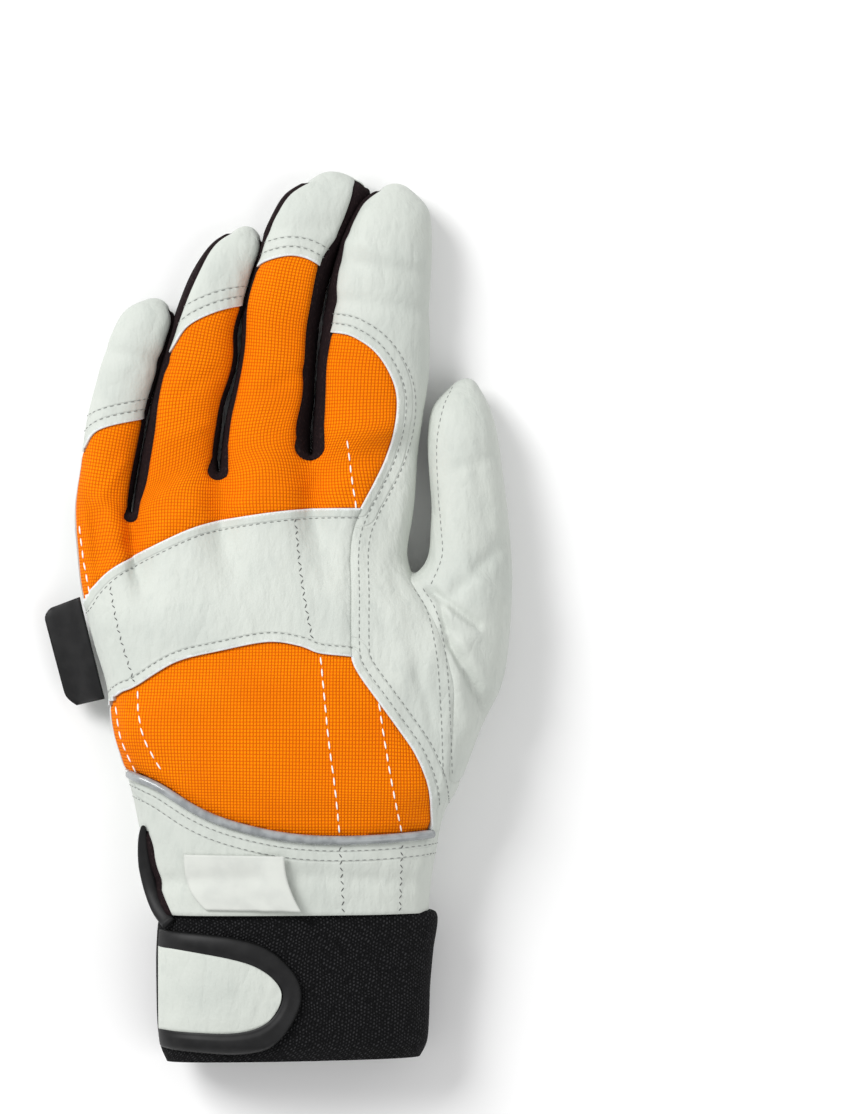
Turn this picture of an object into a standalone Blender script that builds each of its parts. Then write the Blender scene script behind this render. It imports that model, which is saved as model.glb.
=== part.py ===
"""Left-hand chainsaw glove lying palm down.

The hand is one smooth hollow form: rings of points round the palm, four fingers and the thumb.
Seam curves cut that form into panels, and every panel becomes a wall of its own thickness.
Positions are drawn on a flat grid seen from above: x to the thumb side, y from fingertips to hem.
"""

import math

import bmesh
import bpy
from mathutils import Vector
from mathutils.bvhtree import BVHTree

GLOVE_LENGTH = 0.270
GRID_LENGTH = 890.0
UNIT = GLOVE_LENGTH / GRID_LENGTH
# the middle of the glove's outline, so that the origin is under it
GRID_CENTRE = (277.954, 614.718)
MM = 0.001

SEAM_GAP = 0.4 * MM
LEATHER_WALL = 1.4 * MM
FABRIC_WALL = 1.1 * MM
WEAVE_WALL = 1.5 * MM
PAD_WALL = 2.6 * MM
STRAP_WALL = 1.8 * MM
STRAP_RAISE = 0.6 * MM
PAD_HEIGHT = 1.8
LABEL_WALL = 1.0 * MM
KNIT_WALL = 2.2 * MM
TAB_WALL = 1.8 * MM
BINDING_WALL = 2.4 * MM
PIPING_RADIUS = 1.05 * MM
PIPING_CHANNEL = 5.6
FOURCHETTE_INSET = 0.4 * MM
LAY_CLEARANCE = 0.35 * MM
# limits of the border's inset at sharp corners
MITRE_MOST = 2.0
MITRE_LEAST = 0.6
# the padded panel rises to its full height this far from its seams and its side
PAD_FADE = 45
PAD_SIDE = 105
PIPING_ENDS = (140, 426)
PIPING_SIDES = 10
PIPING_SINK = 0.25
# columns and rows of a label; its curl in mm and where that starts
CARE_GRID = (8, 6)
CARE_CURL = 2.2
CARE_CURL_START = 0.6
SIDE_GRID = (6, 9)
SIDE_WALL = 1.2 * MM
# heights of the side label's outer and inner edge, its bow in mm, and its rounded corners
SIDE_HEIGHTS = (7.5, 14.5)
SIDE_BOW = 0.8
SIDE_CORNER = 9
SIDE_CORNER_SHARE = 0.13
TAB_STEPS = 3
TAB_ROWS = 6

FINGER_COLUMNS = 4
PALM_COLUMNS = 16
TUBE_COLUMNS = 12
SNAP_SHARE = 0.3

# squareness of the oval sections; 2 is an ellipse
FINGER_POWER = 2.25
THUMB_POWER = 2.2
PALM_POWERS = (2.3, 2.6)
CUFF_POWER = 2.4
# rows of the palm over which the finger roots and the valleys between them fade out
ROOT_ROWS = 6
VALLEY_ROWS = 4
# row where the thumb stands furthest out, and rows over which that fades
THUMB_MIDDLE_ROW = 6
THUMB_SPREAD_ROWS = 3.5
# how far the seams' angles go down underneath a finger, in degrees
UNDER_ANGLES = (-32, -148)
# share across and share of the reach, for the corners along the ridge of a fingertip
TIP_SPINE = ((0.26, 0.78), (0.5, 1.0), (0.74, 0.78))
SEAM_REACH = 400.0
RELIEF_FACING = 0.3

# left x, left y, right x, right y, seam share left, seam share right, depth mm, lift mm
LITTLE = (
    (76, 492, 132, 497, 0.05, 0.95, 18.5, -0.5),
    (80, 462, 136, 470, 0.05, 0.95, 17.8, -0.6),
    (83, 432, 141, 442, 0.05, 0.96, 17.2, -0.6),
    (89, 402, 146, 414, 0.05, 0.96, 16.8, -0.5),
    (96, 375, 153, 388, 0.05, 0.96, 16.4, -0.3),
    (104, 349, 161, 362, 0.05, 0.96, 16.0, 0.0),
    (113, 326, 169, 338, 0.06, 0.95, 15.0, 0.4),
    (124, 309, 174, 320, 0.07, 0.94, 13.2, 1.0),
    (137, 301, 170, 308, 0.10, 0.92, 9.5, 2.6),
)
RING = (
    (134, 492, 218, 457, 0.12, 0.95, 21.0, -0.8),
    (139, 462, 220, 434, 0.13, 0.95, 20.4, -0.9),
    (145, 432, 222, 414, 0.12, 0.96, 20.0, -0.9),
    (151, 402, 226, 397, 0.09, 0.96, 19.6, -0.8),
    (158, 374, 233, 377, 0.07, 0.96, 19.2, -0.6),
    (165, 346, 237, 355, 0.08, 0.96, 18.9, -0.3),
    (172, 320, 237, 333, 0.10, 0.96, 18.5, 0.0),
    (180, 295, 243, 310, 0.11, 0.96, 17.8, 0.3),
    (190, 272, 250, 288, 0.12, 0.96, 16.8, 0.6),
    (202, 252, 257, 267, 0.10, 0.95, 15.2, 1.0),
    (215, 238, 263, 250, 0.09, 0.94, 13.0, 1.7),
    (229, 230, 262, 238, 0.10, 0.92, 9.5, 3.0),
)
MIDDLE = (
    (220, 452, 310, 437, 0.06, 0.86, 22.5, -1.0),
    (224, 423, 311, 416, 0.06, 0.86, 22.0, -1.1),
    (230, 397, 313, 396, 0.06, 0.88, 21.4, -1.1),
    (236, 371, 314, 374, 0.05, 0.88, 20.8, -0.9),
    (240, 345, 316, 352, 0.05, 0.87, 20.4, -0.7),
    (241, 319, 318, 330, 0.05, 0.87, 20.0, -0.4),
    (244, 296, 322, 308, 0.05, 0.87, 19.7, 0.0),
    (250, 274, 327, 286, 0.05, 0.85, 19.3, 0.3),
    (257, 252, 334, 265, 0.05, 0.83, 18.7, 0.6),
    (264, 230, 341, 244, 0.05, 0.90, 17.8, 0.9),
    (274, 209, 349, 222, 0.06, 0.94, 16.3, 1.2),
    (287, 191, 357, 203, 0.07, 0.93, 13.8, 1.8),
    (305, 180, 357, 188, 0.10, 0.92, 9.8, 3.2),
)
INDEX = (
    (312, 437, 421, 428, 0.09, 0.96, 24.5, -1.0),
    (314, 412, 424, 408, 0.09, 0.96, 24.0, -1.1),
    (316, 388, 427, 388, 0.08, 0.96, 23.6, -1.1),
    (317, 364, 429, 368, 0.08, 0.96, 23.2, -0.9),
    (320, 340, 430, 347, 0.09, 0.96, 22.8, -0.6),
    (323, 316, 430, 325, 0.09, 0.96, 22.4, -0.3),
    (327, 292, 430, 303, 0.08, 0.96, 22.0, 0.0),
    (332, 270, 431, 281, 0.06, 0.96, 21.4, 0.3),
    (338, 249, 432, 259, 0.05, 0.96, 20.6, 0.6),
    (345, 229, 432, 238, 0.05, 0.96, 19.4, 0.9),
    (353, 211, 431, 218, 0.06, 0.95, 17.4, 1.2),
    (362, 198, 426, 204, 0.08, 0.94, 14.4, 1.8),
    (378, 188, 415, 192, 0.10, 0.92, 10.0, 3.2),
)
THUMB = (
    (422, 560, 486, 729, 0.08, 0.92, 32.0, -1.0),
    (427, 545, 501, 686, 0.07, 0.93, 31.0, -1.2),
    (431, 528, 509, 642, 0.07, 0.94, 29.5, -1.2),
    (432, 510, 512, 598, 0.07, 0.94, 27.5, -0.9),
    (431, 490, 512, 556, 0.07, 0.94, 25.5, -0.5),
    (429, 467, 508, 510, 0.07, 0.94, 24.0, 0.0),
    (428, 445, 503, 470, 0.07, 0.94, 22.6, 0.4),
    (429, 424, 498, 436, 0.07, 0.94, 20.8, 0.8),
    (434, 405, 491, 409, 0.08, 0.93, 17.6, 1.4),
    (446, 391, 482, 392, 0.10, 0.92, 12.0, 2.8),
)
TIPS = {
    "little": (157, 296), "ring": (249, 223), "middle": (334, 168), "index": (397, 181),
    "thumb": (467, 378),
}
FINGERS = (("little", LITTLE), ("ring", RING), ("middle", MIDDLE), ("index", INDEX))

# left x, left y, right x, right y, last column share, depth mm, lift mm
PALM = (
    (74, 517, 419, 452, 0.970, 25.0, -1.2),
    (77, 548, 416, 486, 0.970, 27.0, -1.4),
    (80, 578, 413, 520, 0.965, 29.0, -1.5),
    (85, 606, 412, 552, 0.960, 31.0, -1.5),
    (91, 632, 418, 580, 0.950, 33.0, -1.5),
    (99, 660, 458, 606, 0.945, 34.5, -1.5),
    (108, 692, 475, 652, 0.940, 36.0, -1.5),
    (113, 727, 480, 712, 0.940, 37.0, -1.5),
    (124, 765, 462, 780, 0.960, 37.5, -1.5),
    (133, 796, 447, 808, 0.970, 37.5, -1.5),
    (139, 826, 440, 834, 0.970, 37.0, -1.5),
    (146, 854, 435, 859, 0.970, 36.5, -1.4),
    (152, 882, 431, 884, 0.970, 36.0, -1.3),
    (158, 913, 429, 911, 0.970, 35.5, -1.2),
)
THUMB_ROWS = (4, 8)
WEB_SHARES = (0.162, 0.419, 0.688)
FIRST_SHARE = 0.03
EDGE_ARC = 0.13
ROW_LIFT = (0, -2, 12, -6, -13, -16, -11, -8, 0)
THUMB_FULLNESS = 2.2
WEB_TOP = 0.45
WEB_UNDER = 0.65

# centre on the grid, reach and passes: places where the rings of two parts run into one another
SOFTEN = (
    ((418, 584), 46, 3),
    ((446, 640), 46, 2),
    ((456, 720), 50, 2),
    ((129, 519), 22, 1),
    ((218, 479), 22, 1),
    ((311, 462), 22, 1),
)

# left x, left y, right x, right y, depth mm, lift mm
CUFF = (
    (165, 880, 422, 881, 29.4, 1.8),
    (167, 917, 420, 915, 28.6, 1.8),
    (159, 926, 436, 924, 32.6, -0.8),
    (156, 950, 433, 950, 33.0, -1.0),
    (156, 985, 430, 985, 32.6, -1.0),
    (157, 1020, 429, 1018, 32.0, -1.0),
    (160, 1044, 427, 1041, 31.0, -0.8),
    (167, 1061, 420, 1056, 27.0, 0.6),
)
CUFF_AROUND = 36

# x, y, x, y, width, height mm: soft dents (under zero) and folds on the back of the hand
FOLDS = (
    (437, 597, 477, 624, 7, -1.6),
    (446, 611, 486, 640, 8, 1.2),
    (449, 645, 480, 700, 8, -1.8),
    (461, 640, 492, 690, 8, 1.2),
    (450, 595, 508, 540, 7, -1.1),
    (120, 519, 137, 560, 12, -1.6),
    (214, 485, 226, 530, 12, -1.6),
    (310, 470, 322, 520, 12, -1.8),
    (150, 880, 260, 874, 9, -0.8),
    (300, 872, 420, 880, 9, -0.8),
    (100, 350, 166, 362, 8, -0.7),
    (330, 300, 430, 312, 9, -0.7),
)

CAP_LITTLE = ((60, 476), (82, 451), (98, 430), (144, 418), (170, 412))
CAP_RING = ((150, 368), (170, 351), (187, 327), (213, 313), (242, 305), (262, 304))
CAP_MIDDLE = ((232, 286), (250, 272), (264, 262), (287, 256), (305, 258), (322, 267), (342, 280))
SIDE_SEAM = (
    (316, 331), (336, 333), (353, 337), (374, 351), (389, 372), (397, 397), (395, 428), (386, 458),
    (374, 484), (362, 507), (353, 530), (350, 556), (351, 590), (351, 625), (352, 654), (359, 672),
    (379, 700), (400, 729), (416, 753), (428, 783), (431, 812), (432, 850),
)
STRAP_TOP = (
    (72, 612), (84, 603), (95, 587), (116, 568), (154, 547), (202, 526), (253, 516), (306, 510),
    (355, 509), (372, 509),
)
STRAP_FOOT = (
    (98, 713), (111, 703), (122, 692), (138, 685), (178, 661), (221, 650), (269, 641), (301, 645),
    (320, 652), (349, 655), (370, 657),
)
PANEL_FOOT = (
    (112, 761), (130, 772), (161, 785), (199, 808), (234, 822), (282, 833), (328, 837), (381, 836),
    (431, 832), (452, 829),
)
# first palm row of the slit, and how far right its panel and its cut go
SLIT_ROW = 9
SLIT_RIGHT = 200
SLIT_CUT_RIGHT = 230
CHANNEL_RIGHT = 434
SLIT_EDGE = ((138, 812), (147, 827), (154, 845), (157, 870), (164, 893), (177, 920))

TAB_OUTER = (
    (160, 928), (166, 928), (178, 929), (207, 931), (238, 935), (265, 943), (285, 957), (299, 975),
    (303, 991), (299, 1009), (286, 1031), (267, 1046), (238, 1051), (207, 1050), (178, 1048),
    (165, 1046), (159, 1045),
)
TAB_INNER = (
    (159, 946), (165, 947), (176, 948), (202, 952), (230, 957), (252, 963), (268, 971), (279, 981),
    (283, 991), (280, 1003), (270, 1016), (254, 1024), (232, 1028), (206, 1028), (178, 1027),
    (165, 1026), (159, 1026),
)
CARE_LABEL = ((186, 852), (286, 853), (302, 907), (208, 906))
SIDE_LABEL = ((40, 608), (79, 597), (104, 699), (66, 706))

COLOURS = {
    "leather": ((0.72, 0.75, 0.70), 0.62),
    "orange_weave": ((0.95, 0.22, 0.01), 0.8),
    "black_fabric": ((0.017, 0.013, 0.013), 0.85),
    "black_knit": ((0.014, 0.014, 0.015), 0.95),
    "black_rubber": ((0.03, 0.03, 0.03), 0.5),
    "grey_piping": ((0.38, 0.40, 0.41), 0.3),
    "label_cloth": ((0.78, 0.79, 0.78), 0.8),
}


def flat(x, y, z=0.0):
    """Grid position to metres, z already in metres."""
    return Vector(((x - GRID_CENTRE[0]) * UNIT, (GRID_CENTRE[1] - y) * UNIT, z))


def grid_of(point):
    """Metres back to the grid."""
    return point.x / UNIT + GRID_CENTRE[0], GRID_CENTRE[1] - point.y / UNIT


def smooth(share):
    """Soft step from 0 to 1."""
    share = min(1.0, max(0.0, share))
    return share * share * (3.0 - 2.0 * share)


def between(a, b, share):
    return a + (b - a) * share


def curve_points(points, steps=6):
    """Smooth curve through the points, sampled."""
    knots = [points[0], *points, points[-1]]
    out = []
    for p0, p1, p2, p3 in zip(knots, knots[1:], knots[2:], knots[3:]):
        for i in range(steps):
            t = i / steps
            out.append(tuple(
                0.5 * (2 * b + (c - a) * t + (2 * a - 5 * b + 4 * c - d) * t * t
                       + (3 * b - a - 3 * c + d) * t ** 3)
                for a, b, c, d in zip(p0, p1, p2, p3)))
    out.append(tuple(points[-1]))
    return out


class Seam:
    """Signed distance to a smooth curve on the grid: over zero on its right when walked along."""

    def __init__(self, points, reach=SEAM_REACH):
        line = curve_points(points)
        self.line = [self.beyond(line[1], line[0], reach), *line, self.beyond(line[-2], line[-1], reach)]

    @staticmethod
    def beyond(a, b, reach):
        length = math.dist(a, b) or 1.0
        return tuple(q + (q - p) / length * reach for p, q in zip(a, b))

    def __call__(self, point):
        px, py = grid_of(point)
        best = None
        for (ax, ay), (bx, by) in zip(self.line, self.line[1:]):
            dx, dy = bx - ax, by - ay
            t = ((px - ax) * dx + (py - ay) * dy) / ((dx * dx + dy * dy) or 1.0)
            t = min(1.0, max(0.0, t))
            gap = math.hypot(px - ax - dx * t, py - ay - dy * t)
            side = dx * (py - ay) - dy * (px - ax)
            if best is None or gap < abs(best) - 1e-9:
                best = math.copysign(gap, side)
        return best


def rounded(value, power):
    return math.copysign(abs(value) ** (2.0 / power), value)


def section(station, angle, power):
    """Point of a flattened oval section; angle 0 is the right side and 90 degrees the top."""
    lx, ly, rx, ry, depth, lift = station
    share = 0.5 + 0.5 * rounded(math.cos(angle), power)
    half = depth * MM / 2
    z = lift * MM + half + half * rounded(math.sin(angle), power)
    return flat(between(lx, rx, share), between(ly, ry, share), z)


def seam_angle(share, power):
    """Angle of the upper section where it passes a share of the width."""
    value = 2 * share - 1
    return math.acos(math.copysign(abs(value) ** (power / 2), value))


def relief(point):
    """Height that folds, dents and padding add to the back of the hand."""
    x, y = grid_of(point)
    height = 0.0
    for ax, ay, bx, by, width, amount in FOLDS:
        dx, dy = bx - ax, by - ay
        t = ((x - ax) * dx + (y - ay) * dy) / (dx * dx + dy * dy)
        gap = math.hypot(x - ax - dx * min(1.0, max(0.0, t)), y - ay - dy * min(1.0, max(0.0, t)))
        height += amount * math.exp(-((gap / width) ** 2))
    return height * MM


class Form:
    """Rings of points of the whole hand and the faces between them."""

    def __init__(self):
        self.points = []
        self.faces = []
        self.palm_rows = [self.palm_row(i) for i in range(len(PALM))]
        self.skin_palm()
        for number, (name, table) in enumerate(FINGERS):
            self.skin_tube(name, table, self.root_ring(number), FINGER_POWER)
        self.skin_tube("thumb", THUMB, self.thumb_hole(), THUMB_POWER)
        self.lay_flat()

    def add(self, point):
        self.points.append(point)
        return len(self.points) - 1

    def palm_row(self, row):
        """Ring of the palm: columns over the top, right side, columns underneath, left side."""
        lx, ly, rx, ry, last, depth, lift = PALM[row]
        power = between(*PALM_POWERS, smooth(row / ROOT_ROWS))
        web = 1 - smooth(row / VALLEY_ROWS)
        shares, drops = [], []
        for col in range(PALM_COLUMNS + 1):
            finger, step = divmod(col, FINGER_COLUMNS)
            finger, step = (finger, step) if finger < len(FINGERS) else (len(FINGERS) - 1, FINGER_COLUMNS)
            spread = 0.5 - 0.5 * math.cos(math.pi * step / FINGER_COLUMNS)
            webs = (FIRST_SHARE, *WEB_SHARES, last)
            root = between(webs[finger], webs[finger + 1], (step / FINGER_COLUMNS + spread) / 2)
            arc = math.cos(math.pi * (EDGE_ARC + (1 - 2 * EDGE_ARC) * col / PALM_COLUMNS))
            even = 0.5 - 0.5 * arc / math.cos(math.pi * EDGE_ARC)
            even = between(FIRST_SHARE, last, even)
            shares.append(between(even, root, 1 - smooth(row / ROOT_ROWS)))
            knot, part = divmod(col, 2)
            drop = ROW_LIFT[knot] if not part else (ROW_LIFT[knot] + ROW_LIFT[knot + 1]) / 2
            drops.append(drop * web)
        ring = []
        for col in range(PALM_COLUMNS + 1):
            ring.append(self.palm_point(row, shares[col], drops[col], col, web, power, 1))
        ring.append(self.add(section((lx, ly, rx, ry, depth, lift), 0.0, power)))
        for col in range(PALM_COLUMNS, -1, -1):
            ring.append(self.palm_point(row, shares[col], drops[col], col, web, power, -1))
        ring.append(self.add(section((lx, ly, rx, ry, depth, lift), math.pi, power)))
        return ring

    def palm_point(self, row, share, drop, col, web, power, side):
        lx, ly, rx, ry, _, depth, lift = PALM[row]
        value = abs(2 * share - 1)
        near = smooth(1 - abs(row - THUMB_MIDDLE_ROW) / THUMB_SPREAD_ROWS)
        power += THUMB_FULLNESS * near * smooth(2 * share - 1)
        rise = (1 - value ** power) ** (1 / power)
        valley = math.cos(math.pi * col / FINGER_COLUMNS) ** 2 if 0 < col < PALM_COLUMNS else 0.0
        valley = valley ** 2 * web
        rise *= between(1.0, WEB_TOP if side > 0 else WEB_UNDER, valley)
        half = depth * MM / 2
        z = lift * MM + half + side * half * rise
        return self.add(flat(between(lx, rx, share), between(ly, ry, share) + drop, z))

    def root_ring(self, number):
        """Twelve points of the first palm row where a finger stands on."""
        row = self.palm_rows[0]
        start = number * FINGER_COLUMNS
        upper = [row[start + i] for i in range(FINGER_COLUMNS + 1)]
        lower = [row[2 * PALM_COLUMNS + 2 - start - i] for i in range(FINGER_COLUMNS, -1, -1)]
        if number == 0:
            self.webs = []
        left = row[-1] if number == 0 else self.webs[-1]
        if number == 3:
            right = row[PALM_COLUMNS + 1]
        else:
            top, foot = self.points[upper[-1]], self.points[lower[0]]
            right = self.add((top + foot) / 2)
            self.webs.append(right)
        return [*upper, right, *lower, left]

    def thumb_hole(self):
        first, last = THUMB_ROWS
        col = PALM_COLUMNS
        rows = self.palm_rows[first:last + 1]
        upper = [row[col] for row in rows]
        lower = [row[col + 2] for row in reversed(rows)]
        return [*upper, self.palm_rows[last][col + 1], *lower, self.palm_rows[first][col + 1]]

    def skin_palm(self):
        first, last = THUMB_ROWS
        col = PALM_COLUMNS
        count = len(self.palm_rows[0])
        for row, (ring, other) in enumerate(zip(self.palm_rows, self.palm_rows[1:])):
            for i in range(count):
                if first <= row < last and i in (col, col + 1):
                    continue
                j = (i + 1) % count
                side = "top" if i < col else "right" if i == col else "under"
                side = "left" if i == count - 1 else side
                self.faces.append(((ring[i], ring[j], other[j], other[i]), ("palm", side, row)))

    def skin_tube(self, name, table, root, power):
        rings = [root]
        for lx, ly, rx, ry, seam_l, seam_r, depth, lift in table:
            station = (lx, ly, rx, ry, depth, lift)
            start, end = seam_angle(seam_l, power), seam_angle(seam_r, power)
            count = FINGER_COLUMNS
            ring = [self.add(section(station, between(start, end, i / count), power))
                    for i in range(count + 1)]
            ring.append(self.add(section(station, 0.0, power)))
            for i in range(count + 1):
                angle = math.radians(between(*UNDER_ANGLES, i / count)) + 2 * math.pi
                ring.append(self.add(section(station, angle, power)))
            ring.append(self.add(section(station, math.pi, power)))
            rings.append(ring)
        sides = ("top",) * 4 + ("right_up", "right_low") + ("under",) * 4 + ("left_low", "left_up")
        for row, (ring, other) in enumerate(zip(rings, rings[1:])):
            for i in range(TUBE_COLUMNS):
                j = (i + 1) % TUBE_COLUMNS
                face = (ring[j], ring[i], other[i], other[j])
                self.faces.append((face, (name, sides[i], row)))
        end = rings[-1]
        tip = flat(*TIPS[name])
        height = (self.points[end[2]].z + self.points[end[8]].z) / 2
        left, right = self.points[end[11]], self.points[end[5]]
        middle = []
        for share, reach in TIP_SPINE:
            base = left.lerp(right, share)
            point = base + (tip - left.lerp(right, 0.5)) * reach
            point.z = height
            middle.append(self.add(point))
        spine = [end[11], *middle, end[5]]
        lower = end[6:11][::-1]
        for i in range(FINGER_COLUMNS):
            self.faces.append(((end[i + 1], end[i], spine[i], spine[i + 1]), (name, "cap_up", i)))
            self.faces.append(((lower[i], lower[i + 1], spine[i + 1], spine[i]), (name, "cap_low", i)))

    def lay_flat(self):
        """Soft leather lies flat where it rests."""
        for point in self.points:
            point.z = max(0.0, point.z)


def build_form():
    """The whole hand as one mesh, with the region of each face in a layer."""
    form = Form()
    mesh = bmesh.new()
    verts = [mesh.verts.new(point) for point in form.points]
    layer = mesh.faces.layers.int.new("tag")
    tags = []
    for corners, tag in form.faces:
        face = mesh.faces.new([verts[i] for i in reversed(corners)])
        face[layer] = len(tags)
        tags.append(tag)
    loose = [v for v in mesh.verts if not v.link_faces]
    bmesh.ops.delete(mesh, geom=loose, context="VERTS")
    for centre, reach, passes in SOFTEN:
        near = [v for v in mesh.verts if math.dist(grid_of(v.co), centre) < reach and not v.is_boundary]
        for _ in range(passes):
            bmesh.ops.smooth_vert(mesh, verts=near, factor=0.5, use_axis_x=True, use_axis_y=True,
                                  use_axis_z=True)
    mesh.normal_update()
    for vert in mesh.verts:
        if vert.normal.z > RELIEF_FACING:
            vert.co += vert.normal * relief(vert.co)
    mesh.normal_update()
    return mesh, layer, tags


def split_along(mesh, faces, value, pinned):
    """Cut the faces where the value passes zero, sliding near corners on to the cut first."""
    faces = set(faces)
    values = {v: value(v.co) for f in faces for v in f.verts}
    mesh.edges.index_update()
    edges = sorted({e for f in faces for e in f.edges}, key=lambda e: e.index)
    for edge in edges:
        a, b = edge.verts
        if values[a] * values[b] >= 0:
            continue
        share = values[a] / (values[a] - values[b])
        near, far, share = (a, b, share) if share < 0.5 else (b, a, 1 - share)
        if share < SNAP_SHARE and near not in pinned:
            near.co = near.co.lerp(far.co, share)
            values[near] = 0.0
            pinned.add(near)
    for edge in edges:
        a, b = edge.verts
        if values[a] * values[b] < 0:
            share = values[a] / (values[a] - values[b])
            vert = bmesh.utils.edge_split(edge, a, share)[1]
            values[vert] = 0.0
            pinned.add(vert)
    pending = sorted(faces, key=lambda f: f.index)
    while pending:
        face = pending.pop()
        loop = list(face.verts)
        on = [i for i, v in enumerate(loop) if values.get(v) == 0.0]
        for i in on:
            for j in on:
                if j - i < 2 or j - i > len(loop) - 2:
                    continue
                one = {math.copysign(1, values[v]) for v in loop[i + 1:j] if values.get(v)}
                two = {math.copysign(1, values[v]) for v in loop[j + 1:] + loop[:i] if values.get(v)}
                if one and two and one != two:
                    new = bmesh.utils.face_split(face, loop[i], loop[j])[0]
                    faces.add(new)
                    pending += [face, new]
                    break
            else:
                continue
            break
    return faces


def pick(mesh, layer, tags, wanted):
    return [f for f in mesh.faces if wanted(tags[f[layer]])]


def cut_seams(mesh, layer, tags):
    """Cut every seam into the form and return the piece each face belongs to."""
    seams = {
        "cap_little": Seam(CAP_LITTLE), "cap_ring": Seam(CAP_RING), "cap_middle": Seam(CAP_MIDDLE),
        "side": Seam(SIDE_SEAM), "strap_top": Seam(STRAP_TOP), "strap_foot": Seam(STRAP_FOOT),
        "foot": Seam(PANEL_FOOT), "slit": Seam(SLIT_EDGE),
    }
    pinned = set()
    for f in pick(mesh, layer, tags, lambda t: t[0] == "palm" and t[1] != "top"):
        pinned.update(f.verts)
    for name in ("little", "ring", "middle", "index"):
        for f in pick(mesh, layer, tags, lambda t, n=name: t[0] == n and t[1] != "top"):
            pinned.update(f.verts)
    hem = [v for v in mesh.verts if v.is_boundary]
    pinned.update(hem)

    def back(name):
        return pick(mesh, layer, tags, lambda t: t[0] == name and t[1] == "top")

    for name in ("little", "ring", "middle"):
        split_along(mesh, back(name), seams["cap_" + name], pinned)

    def beside_palm(tag):
        return tag[0] == "palm" and tag[1] in ("top", "right", "left")

    split_along(mesh, back("index") + back("palm"), seams["side"], pinned)
    split_along(mesh, back("palm"), seams["strap_top"], pinned)
    split_along(mesh, back("palm"), seams["strap_foot"], pinned)
    for shift in (-PIPING_CHANNEL, PIPING_CHANNEL):
        around = pick(mesh, layer, tags, beside_palm)
        split_along(mesh, around, lambda p, s=shift: seams["foot"](p) - s, pinned)
    wrist = pick(mesh, layer, tags, lambda t: t[0] == "palm" and t[1] == "top" and t[2] >= SLIT_ROW)
    low = [f for f in wrist if grid_of(f.calc_center_median())[0] < SLIT_CUT_RIGHT]
    split_along(mesh, low, seams["slit"], pinned)
    loose_ngons = [f for f in mesh.faces if len(f.verts) > 4]
    bmesh.ops.triangulate(mesh, faces=loose_ngons)
    mesh.normal_update()
    return {f: piece_of(tags[f[layer]], f.calc_center_median(), seams) for f in mesh.faces}, seams


def piece_of(tag, centre, seams):
    """Name of the piece that a face of the form belongs to."""
    part, side, row = tag
    x, _ = grid_of(centre)
    if part == "thumb":
        return "thumb_leather"
    if part == "palm":
        if side == "under":
            return "palm_leather"
        foot = seams["foot"](centre)
        if abs(foot) < PIPING_CHANNEL and side == "top" and x < CHANNEL_RIGHT:
            return "channel"
        if foot > 0:
            slit = side == "left" or (side == "top" and seams["slit"](centre) > 0)
            bound = slit and x < SLIT_RIGHT and row >= SLIT_ROW
            return "slit_binding" if bound else "wrist_leather"
        if side == "right" or seams["side"](centre) < 0:
            return "index_leather"
        if seams["strap_top"](centre) < 0:
            return "back_knuckles"
        return "knuckle_strap" if seams["strap_foot"](centre) < 0 else "back_hand"
    order = ("little", "ring", "middle", "index")
    number = order.index(part)
    if side == "under":
        return "palm_leather"
    outer_left = number == 0 and side.startswith("left")
    outer_right = number == 3 and side.startswith("right")
    if side in ("left_up", "left_low", "right_up", "right_low") and not (outer_left or outer_right):
        gap = number if side.startswith("right") else number - 1
        return ("fourchette_little", "fourchette_middle", "fourchette_index")[gap]
    if side.endswith("low"):
        return "palm_leather"
    if part == "index":
        if side != "top":
            return "index_leather"
        return "index_leather" if seams["side"](centre) < 0 else "back_knuckles"
    if side == "cap_up":
        return "tip_" + part
    return "tip_" + part if seams["cap_" + part](centre) < 0 else "back_knuckles"


def material_of(name):
    """Plain shader of a named finish."""
    found = bpy.data.materials.get(name)
    if found:
        return found
    colour, rough = COLOURS[name]
    material = bpy.data.materials.new(name)
    material.use_nodes = True
    shader = material.node_tree.nodes["Principled BSDF"]
    shader.inputs["Base Color"].default_value = (*colour, 1.0)
    shader.inputs["Roughness"].default_value = rough
    return material


def add_object(name, mesh, finish):
    data = bpy.data.meshes.new(name)
    mesh.to_mesh(data)
    mesh.free()
    for polygon in data.polygons:
        polygon.use_smooth = True
    data.materials.append(material_of(finish))
    obj = bpy.data.objects.new(name, data)
    bpy.context.collection.objects.link(obj)
    return obj


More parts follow.
